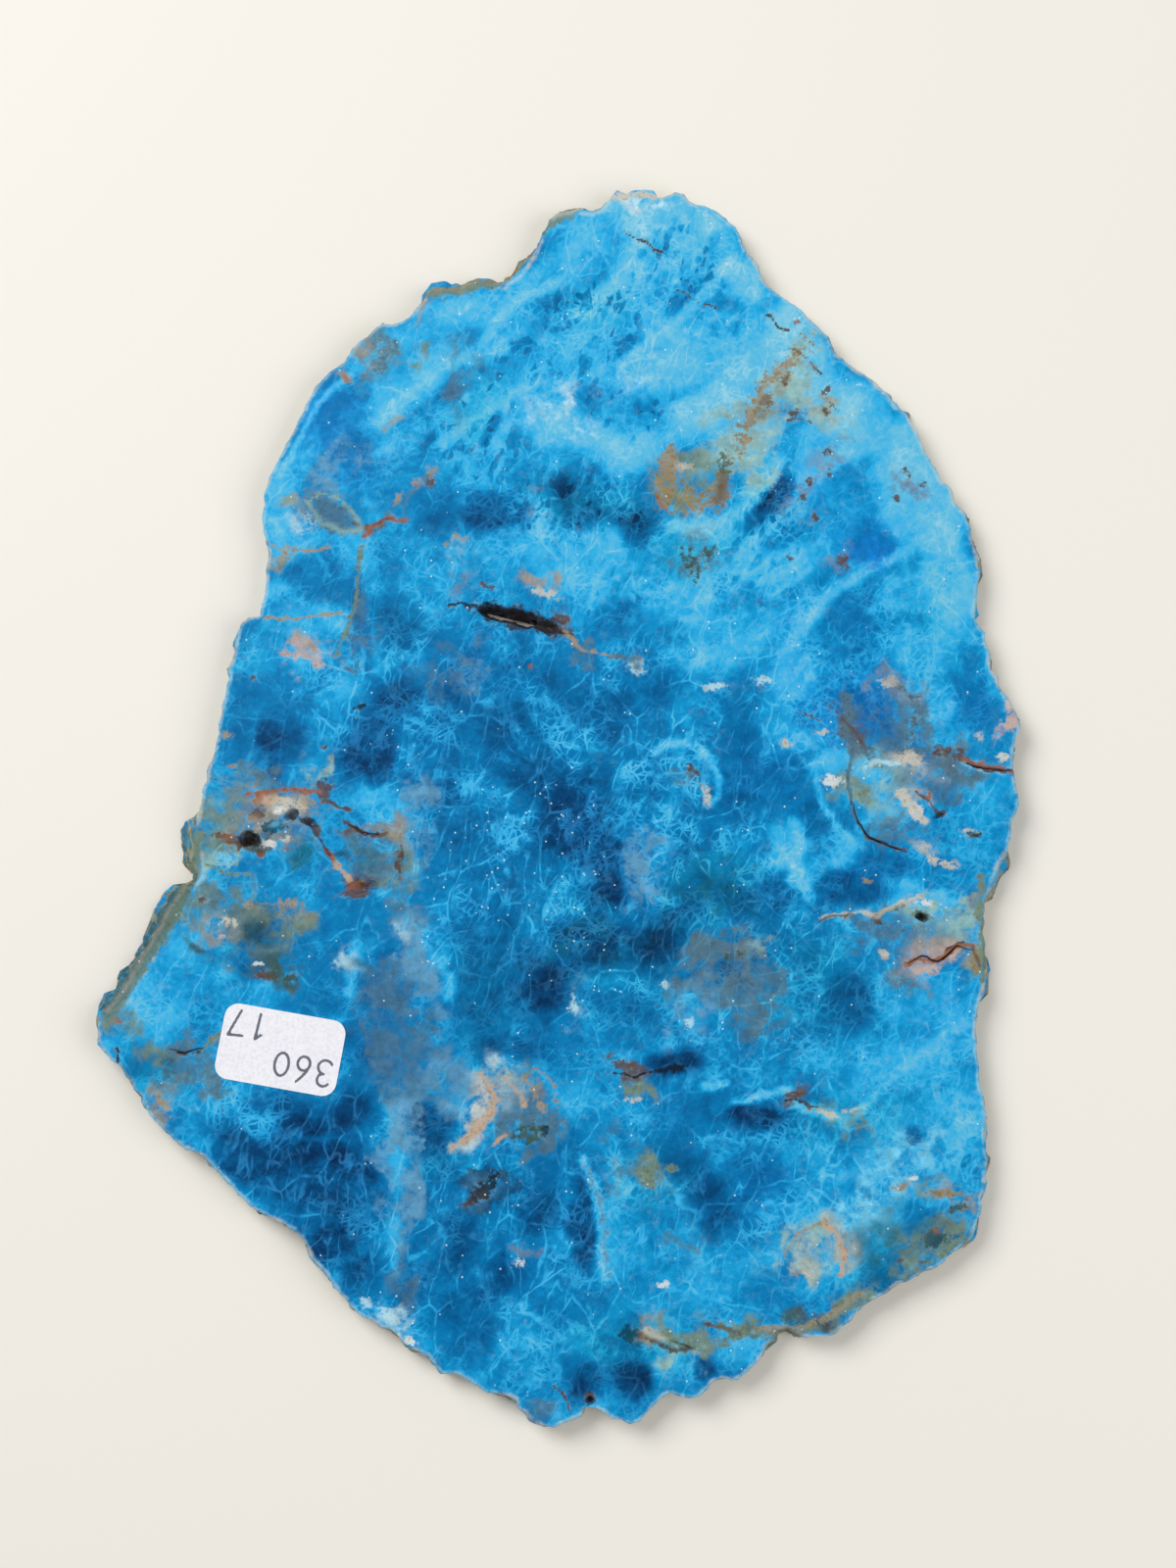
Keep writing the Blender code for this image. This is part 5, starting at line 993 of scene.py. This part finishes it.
class Painter:
    """Lays strokes over the points of a mesh and keeps them as attributes."""

    def __init__(self, points: np.ndarray) -> None:
        """Works out where each point lies once the strokes' edges are made uneven.

        Args:
            points: The mesh's points, in millimetres on the face.
        """
        self.points = points
        flat = points * (1.0, 1.0, 0.35)
        self.loose = points[:, :2] + 1.9 * drift(flat, 8.0) + 0.8 * drift(flat, 2.7) + 0.35 * drift(flat, 1.1)
        self.tight = points[:, :2] + 0.35 * drift(flat, 2.1) + 0.22 * drift(flat, 0.9)
        self.torn = self.loose + 3.4 * drift(flat, 4.6) + 1.6 * drift(flat, 1.9)

    @staticmethod
    def oval(places: np.ndarray, x: float, y: float, rx: float, ry: float, turn: float) -> np.ndarray:
        """Measures how far places lie from an oval's middle.

        Args:
            places: The places.
            x: The oval's middle across the face.
            y: Its middle along the face.
            rx: Its half length.
            ry: Its half width.
            turn: Its turn, in degrees.

        Returns:
            For each place, 0 in the middle and 1 on the oval's edge.
        """
        angle = math.radians(turn)
        dx = places[:, 0] - x
        dy = places[:, 1] - y
        along = dx * math.cos(angle) + dy * math.sin(angle)
        across = dy * math.cos(angle) - dx * math.sin(angle)
        return np.hypot(along / rx, across / ry)

    @staticmethod
    def from_route(places: np.ndarray, route: Sequence[tuple[float, float]]) -> np.ndarray:
        """Measures how far places lie from a route.

        Args:
            places: The places.
            route: The route's corners.

        Returns:
            The distance of each place, in millimetres.
        """
        nearest = np.full(len(places), np.inf)
        for start, end in zip(route, route[1:]):
            start = np.array(start, float)
            step = np.array(end, float) - start
            share = np.clip((places - start) @ step / (step @ step), 0.0, 1.0)
            gap = np.linalg.norm(places - start - share[:, None] * step, axis=1)
            nearest = np.minimum(nearest, gap)
        return nearest

    def zones(self, rows: Iterable, ground: float, inner: float, outer: float, loose: bool = True) -> np.ndarray:
        """Lays ovals of a value over a ground.

        Args:
            rows: Each oval's value, place, half lengths and turn.
            ground: The value where there is no oval.
            inner: How far out an oval covers fully.
            outer: How far out it ends.
            loose: Whether the ovals' edges wander far.

        Returns:
            The value at each point.
        """
        places = self.loose if loose else self.tight
        values = np.full(len(places), ground)
        return self.over(values, rows, places, inner, outer)

    def over(self, values: np.ndarray, rows: Iterable, places: np.ndarray, inner: float, outer: float) -> np.ndarray:
        """Lays ovals of a value over values that are there already.

        Args:
            values: The values so far.
            rows: Each oval's value, place, half lengths and turn.
            places: Where each point is read.
            inner: How far out an oval covers fully.
            outer: How far out it ends.

        Returns:
            The new values.
        """
        for value, *oval in rows:
            cover = ease(self.oval(places, *oval), outer, inner)
            values = values + (value - values) * cover
        return values

    def milk(self) -> np.ndarray:
        """Paints how milky the stone is at each point."""
        values = self.zones(BODY_ZONES, 0.52, 0.35, 1.45)
        values = self.over(values, DEEP_CELLS, self.tight, 0.7, 1.25)
        for level, half_width, route in WISPS:
            gap = self.from_route(self.loose * 0.5 + self.tight * 0.5, route)
            cover = 0.75 * ease(gap, 2.1 * half_width, 0.3 * half_width)
            values = values + (level - values) * cover
        return values

    def coloured(self, rows: Iterable, places: np.ndarray, inner: float, outer: float) -> np.ndarray:
        """Lays coloured ovals over each other.

        Args:
            rows: Each oval's tone, place, half lengths, turn and cover.
            places: Where each point is read.
            inner: How far out an oval covers fully.
            outer: How far out it ends.

        Returns:
            Red, green, blue and cover at each point.
        """
        colours = np.zeros((len(places), 4))
        colours[:, :3] = linear(Tone.TAN.value)
        for tone, x, y, rx, ry, turn, cover in rows:
            self.lay(colours, tone, cover * ease(self.oval(places, x, y, rx, ry, turn), outer, inner))
        return colours

    @staticmethod
    def lay(colours: np.ndarray, tone: Tone, cover: np.ndarray) -> None:
        """Lays one tone over colours with a cover.

        Args:
            colours: The colours and their cover so far, which are changed.
            tone: The tone.
            cover: Its cover at each point.
        """
        total = cover + colours[:, 3] * (1 - cover)
        share = np.where(total > 1e-6, cover / np.maximum(total, 1e-6), 0.0)[:, None]
        colours[:, :3] += (np.array(linear(tone.value)) - colours[:, :3]) * share
        colours[:, 3] = total

    def stains(self) -> np.ndarray:
        """Paints the stains with firm edges, and the thin veins over them."""
        colours = self.coloured(STAINS, self.tight, 0.25, 1.6)
        for tone, half_width, cover, route in VEINS:
            gap = self.from_route(self.tight, route)
            self.lay(colours, tone, cover * ease(gap, 2.2 * half_width, 0.2 * half_width))
        return colours


def drift(points: np.ndarray, size: float) -> np.ndarray:
    """Gives smooth random shifts.

    Args:
        points: Where they are read, in millimetres.
        size: The size of the drift's features.

    Returns:
        A shift along x and y for each point, at most about 1.
    """
    return np.array([noise.noise_vector(Vector(point))[:2] for point in points / size])


def ease(values: np.ndarray, zero: float, one: float) -> np.ndarray:
    """Rises or falls smoothly between two values.

    Args:
        values: The values.
        zero: The value that gives 0.
        one: The value that gives 1.

    Returns:
        The eased values, from 0 to 1.
    """
    share = np.clip((values - zero) / (one - zero), 0.0, 1.0)
    return share * share * (3 - 2 * share)


@dataclass
class StoneSlab:
    """The stone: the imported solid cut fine, its rind roughened and its face painted."""

    source: bpy.types.Object
    shift: Vector
    finish: StoneFinish = field(default_factory=StoneFinish)
    grid: float = 5.6
    face_edge: float = 0.78
    fine_edge: float = 0.36
    rind_edge: float = 0.60
    back_edge: float = 1.6
    rind_rough: float = 0.42
    chip: float = 0.26
    slot_narrowing: float = 0.72

    def build(self) -> bpy.types.Object:
        """Builds the stone.

        Returns:
            The finished piece.
        """
        bm = bmesh.new()
        bm.from_mesh(self.source.data)
        bmesh.ops.remove_doubles(bm, verts=bm.verts, dist=1e-6)
        bmesh.ops.scale(bm, vec=(1 / MM,) * 3, verts=bm.verts)
        bmesh.ops.translate(bm, vec=-self.shift, verts=bm.verts)
        bmesh.ops.dissolve_limit(bm, angle_limit=math.radians(0.3), verts=bm.verts, edges=bm.edges)
        self.low = np.min([vert.co for vert in bm.verts], axis=0)
        self.high = np.max([vert.co for vert in bm.verts], axis=0)
        self.top = float(self.high[2])
        self.rim = self.find_rim(bm)
        self.cut_grid(bm)
        self.split_long_edges(bm)
        self.roughen(bm)
        bmesh.ops.translate(bm, vec=self.shift, verts=bm.verts)
        bmesh.ops.scale(bm, vec=(MM,) * 3, verts=bm.verts)
        mesh = bpy.data.meshes.new("sawn_slab")
        bm.to_mesh(mesh)
        bm.free()
        mesh.shade_smooth()
        mesh.set_sharp_from_angle(angle=math.radians(42))
        piece = bpy.data.objects.new("sawn_slab", mesh)
        bpy.context.scene.collection.objects.link(piece)
        self.paint(mesh)
        mesh.materials.append(self.finish.build())
        return piece

    def find_rim(self, bm: bmesh.types.BMesh) -> kdtree.KDTree:
        """Finds the sawn face's outer edge and the mouths in it.

        Args:
            bm: The stone's mesh.

        Returns:
            Points along those edges, ready to be searched.
        """
        edges = set()
        for edge in bm.edges:
            ups = [face.normal.z > 0.9 for face in edge.link_faces]
            if any(ups) and not all(ups) and all(vert.co.z > self.top - 0.01 for vert in edge.verts):
                edges.add(edge)
        places = []
        longest = 0
        while edges:
            first = len(places)
            waiting = [edges.pop()]
            while waiting:
                edge = waiting.pop()
                count = max(1, round(edge.calc_length() / 0.25))
                start, end = (vert.co for vert in edge.verts)
                places += [start.lerp(end, k / count) for k in range(count)]
                touching = {other for vert in edge.verts for other in vert.link_edges} & edges
                edges -= touching
                waiting += touching
            if len(places) - first > longest:
                longest = len(places) - first
                self.outline = range(first, len(places))
        tree = kdtree.KDTree(len(places))
        for i, place in enumerate(places):
            tree.insert(place, i)
        tree.balance()
        return tree

    def cut_grid(self, bm: bmesh.types.BMesh) -> None:
        """Cuts the large faces into squares.

        Args:
            bm: The stone's mesh, which is changed.
        """
        for axis in (0, 1):
            normal = Vector((1 - axis, axis, 0))
            for place in np.arange(self.low[axis] + self.grid / 2, self.high[axis], self.grid):
                geometry = [*bm.verts, *bm.edges, *bm.faces]
                bmesh.ops.bisect_plane(bm, geom=geometry, plane_co=normal * float(place), plane_no=normal, dist=1e-4)
        bmesh.ops.triangulate(bm, faces=bm.faces)

    def wanted(self, places: np.ndarray) -> np.ndarray:
        """Says how long an edge may be at these places.

        Args:
            places: The edges' middles.

        Returns:
            The longest edge wanted at each.
        """
        lengths = np.where(places[:, 2] > self.top - 0.05, self.face_edge, self.rind_edge)
        lengths = np.where(places[:, 2] < 0.05, self.back_edge, lengths)
        on_face = places[:, 2] > self.top - 0.4
        flat = places[:, :2]
        near = self.in_slot(places) < 1.2
        for _, half_width, _, route in VEINS:
            near |= Painter.from_route(flat, route) < half_width + 0.35
        for _, x, y, rx, ry, turn, _ in STAINS:
            if min(rx, ry) < 1.2:
                near |= Painter.oval(flat, x, y, rx + 0.3, ry + 0.3, turn) < 1
        near |= np.array([self.rim.find(place)[2] < 0.45 for place in places])
        return np.where(near & (on_face | (self.in_slot(places) < 1.2)), self.fine_edge, lengths)

    @staticmethod
    def in_slot(places: np.ndarray) -> np.ndarray:
        """Measures how far places lie from the slot's middle, with 1 on its mouth."""
        return Painter.oval(places[:, :2], *SLOT)

    def split_long_edges(self, bm: bmesh.types.BMesh, rounds: int = 5) -> None:
        """Halves the edges that are too long, round after round.

        Args:
            bm: The stone's mesh, which is changed.
            rounds: How many rounds at most.
        """
        for _ in range(rounds):
            bm.verts.index_update()
            places = np.array([vert.co for vert in bm.verts])
            ends = np.array([[vert.index for vert in edge.verts] for edge in bm.edges])
            lengths = np.linalg.norm(places[ends[:, 0]] - places[ends[:, 1]], axis=1)
            chosen = np.flatnonzero(lengths > 1.42 * self.fine_edge)
            wanted = self.wanted(places[ends[chosen]].mean(axis=1))
            long = set(chosen[lengths[chosen] > 1.42 * wanted].tolist())
            edges = [edge for i, edge in enumerate(bm.edges) if i in long]
            LOG.info("%d edges, %d to halve", len(ends), len(edges))
            if not edges:
                return
            bmesh.ops.subdivide_edges(bm, edges=edges, cuts=1, use_grid_fill=True)
            bmesh.ops.triangulate(bm, faces=[face for face in bm.faces if len(face.verts) > 3])

    def roughen(self, bm: bmesh.types.BMesh) -> None:
        """Makes the rind lumpy and the sawn edge ragged, inside the solid's box.

        Args:
            bm: The stone's mesh, which is changed.
        """
        low, high = (Vector(corner) for corner in (self.low, self.high))
        for vert in bm.verts:
            place = vert.co.copy()
            depth = self.top - place.z
            rim = self.rim.find(Vector((place.x, place.y, self.top)))[2]
            fine = noise.noise_vector(place / 0.8)
            coarse = noise.noise_vector(place / 1.9)
            if depth < 0.02:
                push = (0.6 * fine + 0.6 * coarse) * self.chip * max(0.0, 1 - rim / 1.3)
            elif place.z > 0.02:
                push = (0.55 * fine + coarse) * self.rind_rough * min(1.0, depth / 0.7)
                push += (fine + coarse) * self.chip * max(0.0, 1 - depth / 0.7) * 0.6
            else:
                push = Vector((0, 0, 0))
            push.z *= 0.0 if depth < 0.02 else min(1.0, depth, place.z)
            if depth > 0.02:
                push += self.narrowing(place, depth)
            vert.co = Vector(max(l, min(h, c)) for l, h, c in zip(low, high, place + push))
        bm.normal_update()

    def narrowing(self, place: Vector, depth: float) -> Vector:
        """Draws the slot's walls together towards the back.

        Args:
            place: The place, in millimetres.
            depth: How deep it lies under the face.

        Returns:
            The place's shift.
        """
        x, y, half_length, _, turn = SLOT
        angle = math.radians(turn)
        across = Vector((-math.sin(angle), math.cos(angle), 0))
        away = Vector((x, y, 0)) - Vector((place.x, place.y, 0))
        reach = float(self.in_slot(np.array([place]))[0])
        share = max(0.0, min(1.0, (1.9 - reach) / 0.7)) * min(1.0, depth / 3.0)
        return across * away.dot(across) * share * self.slot_narrowing

    def paint(self, mesh: bpy.types.Mesh) -> None:
        """Paints the stone's attributes.

        Args:
            mesh: The finished mesh, in metres.
        """
        points = np.array([vert.co for vert in mesh.vertices]) / MM - np.array(self.shift)
        painter = Painter(points)
        depth = self.top - points[:, 2]
        upright = 1 - np.abs(np.array([vert.normal.z for vert in mesh.vertices]))
        nearest = [self.rim.find((x, y, self.top))[1:] for x, y, _ in points]
        outer = np.array([index in self.outline for index, _ in nearest])
        gaps = np.array([gap for _, gap in nearest])
        numbers = {
            "milk": painter.milk(),
            "hue": painter.zones(HUE_ZONES, 0.0, 0.3, 1.4),
            "lines": painter.zones(LINE_ZONES, 0.5, 0.4, 1.3),
            "spots": painter.zones(SPOT_ZONES, 0.0, 0.4, 1.3),
            "painted_glints": painter.zones(PAINTED_GLINT_ZONES, 0.12, 0.3, 1.4),
            # the pale chipped edge with a painted glow along the face's outline
            "rim": outer * ease(gaps, 1.3, 0.0),
            "rind": outer * ease(depth, 0.1, 1.2) * ease(upright, 0.1, 0.6) * 0.68,
            # painted shade in the pits, cracks and slot, over the brown of their walls
            "hollow_shade_and_brown": ~outer * ease(depth, 0.15, 0.9) * ease(depth, self.top, 0.8 * self.top),
        }
        for name, values in numbers.items():
            attribute = mesh.attributes.new(name, "FLOAT", "POINT")
            attribute.data.foreach_set("value", values.astype(np.float32))
        colours = {"veil": painter.coloured(VEILS, painter.torn, 0.2, 1.5), "stain": painter.stains()}
        for name, values in colours.items():
            attribute = mesh.attributes.new(name, "FLOAT_COLOR", "POINT")
            attribute.data.foreach_set("color", values.astype(np.float32).ravel())


@dataclass(frozen=True)
class PaperFinish:
    """Matt white paper with pen strokes on it."""

    white: Colour = (0.94, 0.94, 0.96)
    ink: Colour = (0.20, 0.22, 0.30)

    def build(self) -> bpy.types.Material:
        """Makes the paper's material."""
        shader = Shader("white_paper")
        place = shader.place()
        fibres = shader.noise(place, 0.5, 3.0)
        paper = shader.blend(linear(self.white), linear((0.88, 0.88, 0.91)), fibres.step(0.35, 0.75))
        pressed = shader.kept("ink") + 0.12 * (shader.noise(place, 0.25, 2.0) - 0.5)
        colour = shader.blend(paper, linear(self.ink), pressed.step(0.46, 0.62) * 0.88)
        bump = shader.node(
            "ShaderNodeBump", {}, {"Strength": 0.15, "Distance": 0.05 * MM, "Height": fibres}, "Normal"
        )
        return shader.finish(Base_Color=colour, Roughness=0.62, Normal=bump, Specular_IOR_Level=0.3)


@dataclass
class PaperSticker:
    """The small paper sticker, with plain figures in pen, upside down as the stone stands."""

    top: float
    shift: Vector
    finish: PaperFinish = field(default_factory=PaperFinish)
    length: float = 19.4
    width: float = 12.0
    corner: float = 2.2
    thickness: float = 0.12
    lift: float = 0.03
    curl: float = 0.28
    figure_height: float = 4.1
    pen: float = 0.24
    groups: tuple = (("17", (2.9, -5.0)), ("360", (-8.6, 0.4)))

    def build(self) -> bpy.types.Object:
        """Builds the sticker.

        Returns:
            The finished piece.
        """
        bm = bmesh.new()
        bmesh.ops.create_grid(bm, x_segments=1, y_segments=1, size=0.5)
        bmesh.ops.scale(bm, vec=(self.length, self.width, 1), verts=bm.verts)
        bmesh.ops.bevel(
            bm, geom=bm.verts, offset=self.corner, segments=8, profile=0.5, affect="VERTICES", material=-1
        )
        for axis, span in ((0, self.length), (1, self.width)):
            normal = Vector((1 - axis, axis, 0))
            for place in np.arange(-span / 2 + 0.15, span / 2, 0.3):
                geometry = [*bm.verts, *bm.edges, *bm.faces]
                bmesh.ops.bisect_plane(bm, geom=geometry, plane_co=normal * float(place), plane_no=normal, dist=1e-4)
        ink = bm.verts.layers.float.new("ink")
        routes = self.figures()
        places = np.array([vert.co[:2] for vert in bm.verts])
        gap = np.min([Painter.from_route(places, route) for route in routes], axis=0)
        for vert, value in zip(bm.verts, 1 - gap / (2 * self.pen)):
            vert[ink] = max(0.0, value)
            away = max(0.0, vert.co.x / (self.length / 2) + vert.co.y / (self.width / 2) - 1.1)
            vert.co.z = self.lift + self.curl * away**2
        made = bmesh.ops.extrude_face_region(bm, geom=bm.faces, use_keep_orig=True)
        upper = [item for item in made["geom"] if isinstance(item, bmesh.types.BMVert)]
        bmesh.ops.translate(bm, vec=(0, 0, self.thickness), verts=upper)
        bmesh.ops.recalc_face_normals(bm, faces=bm.faces)
        turn = Matrix.Rotation(math.radians(STICKER_TURN), 4, "Z")
        place = Vector((*STICKER_PLACE, self.top)) + self.shift
        bmesh.ops.transform(bm, matrix=Matrix.Scale(MM, 4) @ Matrix.Translation(place) @ turn, verts=bm.verts)
        mesh = bpy.data.meshes.new("paper_sticker")
        bm.to_mesh(mesh)
        bm.free()
        mesh.shade_smooth()
        mesh.set_sharp_from_angle(angle=math.radians(40))
        mesh.materials.append(self.finish.build())
        piece = bpy.data.objects.new("paper_sticker", mesh)
        bpy.context.scene.collection.objects.link(piece)
        return piece

    def figures(self) -> list[list[tuple[float, float]]]:
        """Works out the pen's routes on the sticker.

        Returns:
            One route for each stroke, upside down.
        """
        routes = []
        for text, (x, y) in self.groups:
            for i, figure in enumerate(text):
                for stroke in figure_strokes(figure):
                    size = self.figure_height
                    routes.append([(-(x + (u + 0.82 * i) * size), -(y + v * size)) for u, v in stroke])
        return routes


def arc(x: float, y: float, rx: float, ry: float, start: float, end: float) -> list[tuple[float, float]]:
    """Gives points along an arc of an oval.

    Args:
        x: The oval's middle across.
        y: Its middle up.
        rx: Its half width.
        ry: Its half height.
        start: The angle where the arc starts, in degrees.
        end: The angle where it ends.

    Returns:
        The points.
    """
    count = max(2, round(abs(end - start) / 18))
    angles = [math.radians(start + (end - start) * k / count) for k in range(count + 1)]
    return [(x + rx * math.cos(angle), y + ry * math.sin(angle)) for angle in angles]


def figure_strokes(figure: str) -> list[list[tuple[float, float]]]:
    """Gives the pen strokes of one figure, one unit high.

    Args:
        figure: The figure.

    Returns:
        Its strokes.
    """
    if figure == "1":
        return [[(0.12, 0.80), (0.34, 1.0), (0.28, 0.0)]]
    if figure == "7":
        return [[(0.02, 0.95), (0.58, 1.0), (0.42, 0.55), (0.22, 0.0)]]
    if figure == "3":
        return [arc(0.26, 0.76, 0.24, 0.24, 150, -80) + arc(0.26, 0.27, 0.28, 0.27, 85, -150)]
    if figure == "6":
        return [[(0.46, 1.0), (0.16, 0.62)] + arc(0.28, 0.27, 0.24, 0.27, 160, 520)]
    return [arc(0.30, 0.44, 0.27, 0.44, 70, 440)]


@dataclass
class Studio:
    """The floor, the lights and the camera."""

    top: float
    target: tuple[float, float] = (3.9, 0.1)
    tilt: float = 8.0
    distance: float = 363.0
    lens: float = 52.0
    floor_colour: Colour = (0.93, 0.915, 0.88)
    sky: float = 0.32

    def build(self, shift: Vector) -> None:
        """Builds the studio.

        Args:
            shift: From the face's places to the row frame, in millimetres.
        """
        self.build_floor()
        self.build_world()
        self.add_softbox("key_light", (-0.55, 0.45, 0.75), 0.6, 8.0)
        self.add_softbox("fill_light", (0.65, -0.25, 0.60), 0.7, 3.4)
        camera = bpy.data.cameras.new("camera")
        camera.lens = self.lens
        camera.sensor_width = 36.0
        camera.clip_start = 0.01
        seat = bpy.data.objects.new("camera", camera)
        angle = math.radians(self.tilt)
        target = Vector((*self.target, self.top)) + Vector((shift.x, shift.y, 0))
        seat.location = (target + self.distance * Vector((0, -math.sin(angle), math.cos(angle)))) * MM
        seat.rotation_euler = (angle, 0, 0)
        bpy.context.scene.collection.objects.link(seat)
        bpy.context.scene.camera = seat
        bpy.context.scene.view_settings.view_transform = "Standard"

    def build_floor(self) -> None:
        """Makes the pale floor that the stone lies on."""
        bm = bmesh.new()
        bmesh.ops.create_grid(bm, x_segments=2, y_segments=2, size=2.0)
        mesh = bpy.data.meshes.new("floor")
        bm.to_mesh(mesh)
        bm.free()
        shader = Shader("pale_floor")
        mesh.materials.append(shader.finish(Base_Color=linear(self.floor_colour), Roughness=0.8, Specular_IOR_Level=0.1))
        floor = bpy.data.objects.new("floor", mesh)
        bpy.context.scene.collection.objects.link(floor)

    def build_world(self) -> None:
        """Makes the soft light from all round."""
        world = bpy.data.worlds.new("studio")
        world.use_nodes = True
        background = world.node_tree.nodes["Background"]
        background.inputs["Color"].default_value = (1.0, 1.0, 1.0, 1.0)
        background.inputs["Strength"].default_value = self.sky
        bpy.context.scene.world = world

    def add_softbox(self, name: str, place: tuple[float, float, float], size: float, watts: float) -> None:
        """Adds a softbox that looks at the stone.

        Args:
            name: Its name.
            place: Where it stands, in metres.
            size: The side of its square.
            watts: Its power.
        """
        light = bpy.data.lights.new(name, "AREA")
        light.size = size
        light.energy = watts
        lamp = bpy.data.objects.new(name, light)
        lamp.location = place
        lamp.rotation_euler = Vector(place).to_track_quat("Z", "Y").to_euler()
        bpy.context.scene.collection.objects.link(lamp)


def main() -> None:
    """Builds the stone, the sticker and the studio."""
    logging.basicConfig(level=logging.INFO, format="%(name)s: %(message)s")
    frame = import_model()
    low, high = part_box(STICKER_NODE)
    shift = (low + high) / 2 / MM - Vector((*STICKER_PLACE, 0))
    shift.z = 0.0
    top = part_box(STONE_NODE)[1].z / MM
    pieces = (
        (StoneSlab(frame["nodes"][STONE_NODE], shift), STONE_NODE, "apatite"),
        (PaperSticker(top, shift), STICKER_NODE, "paper"),
    )
    for maker, node, slot in pieces:
        piece = maker.build()
        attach(piece, "root")
        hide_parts(node)
        LOG.info("%s: %d faces", piece.name, len(piece.data.polygons))
    Studio(top).build(shift)


if __name__ == "__main__":
    main()
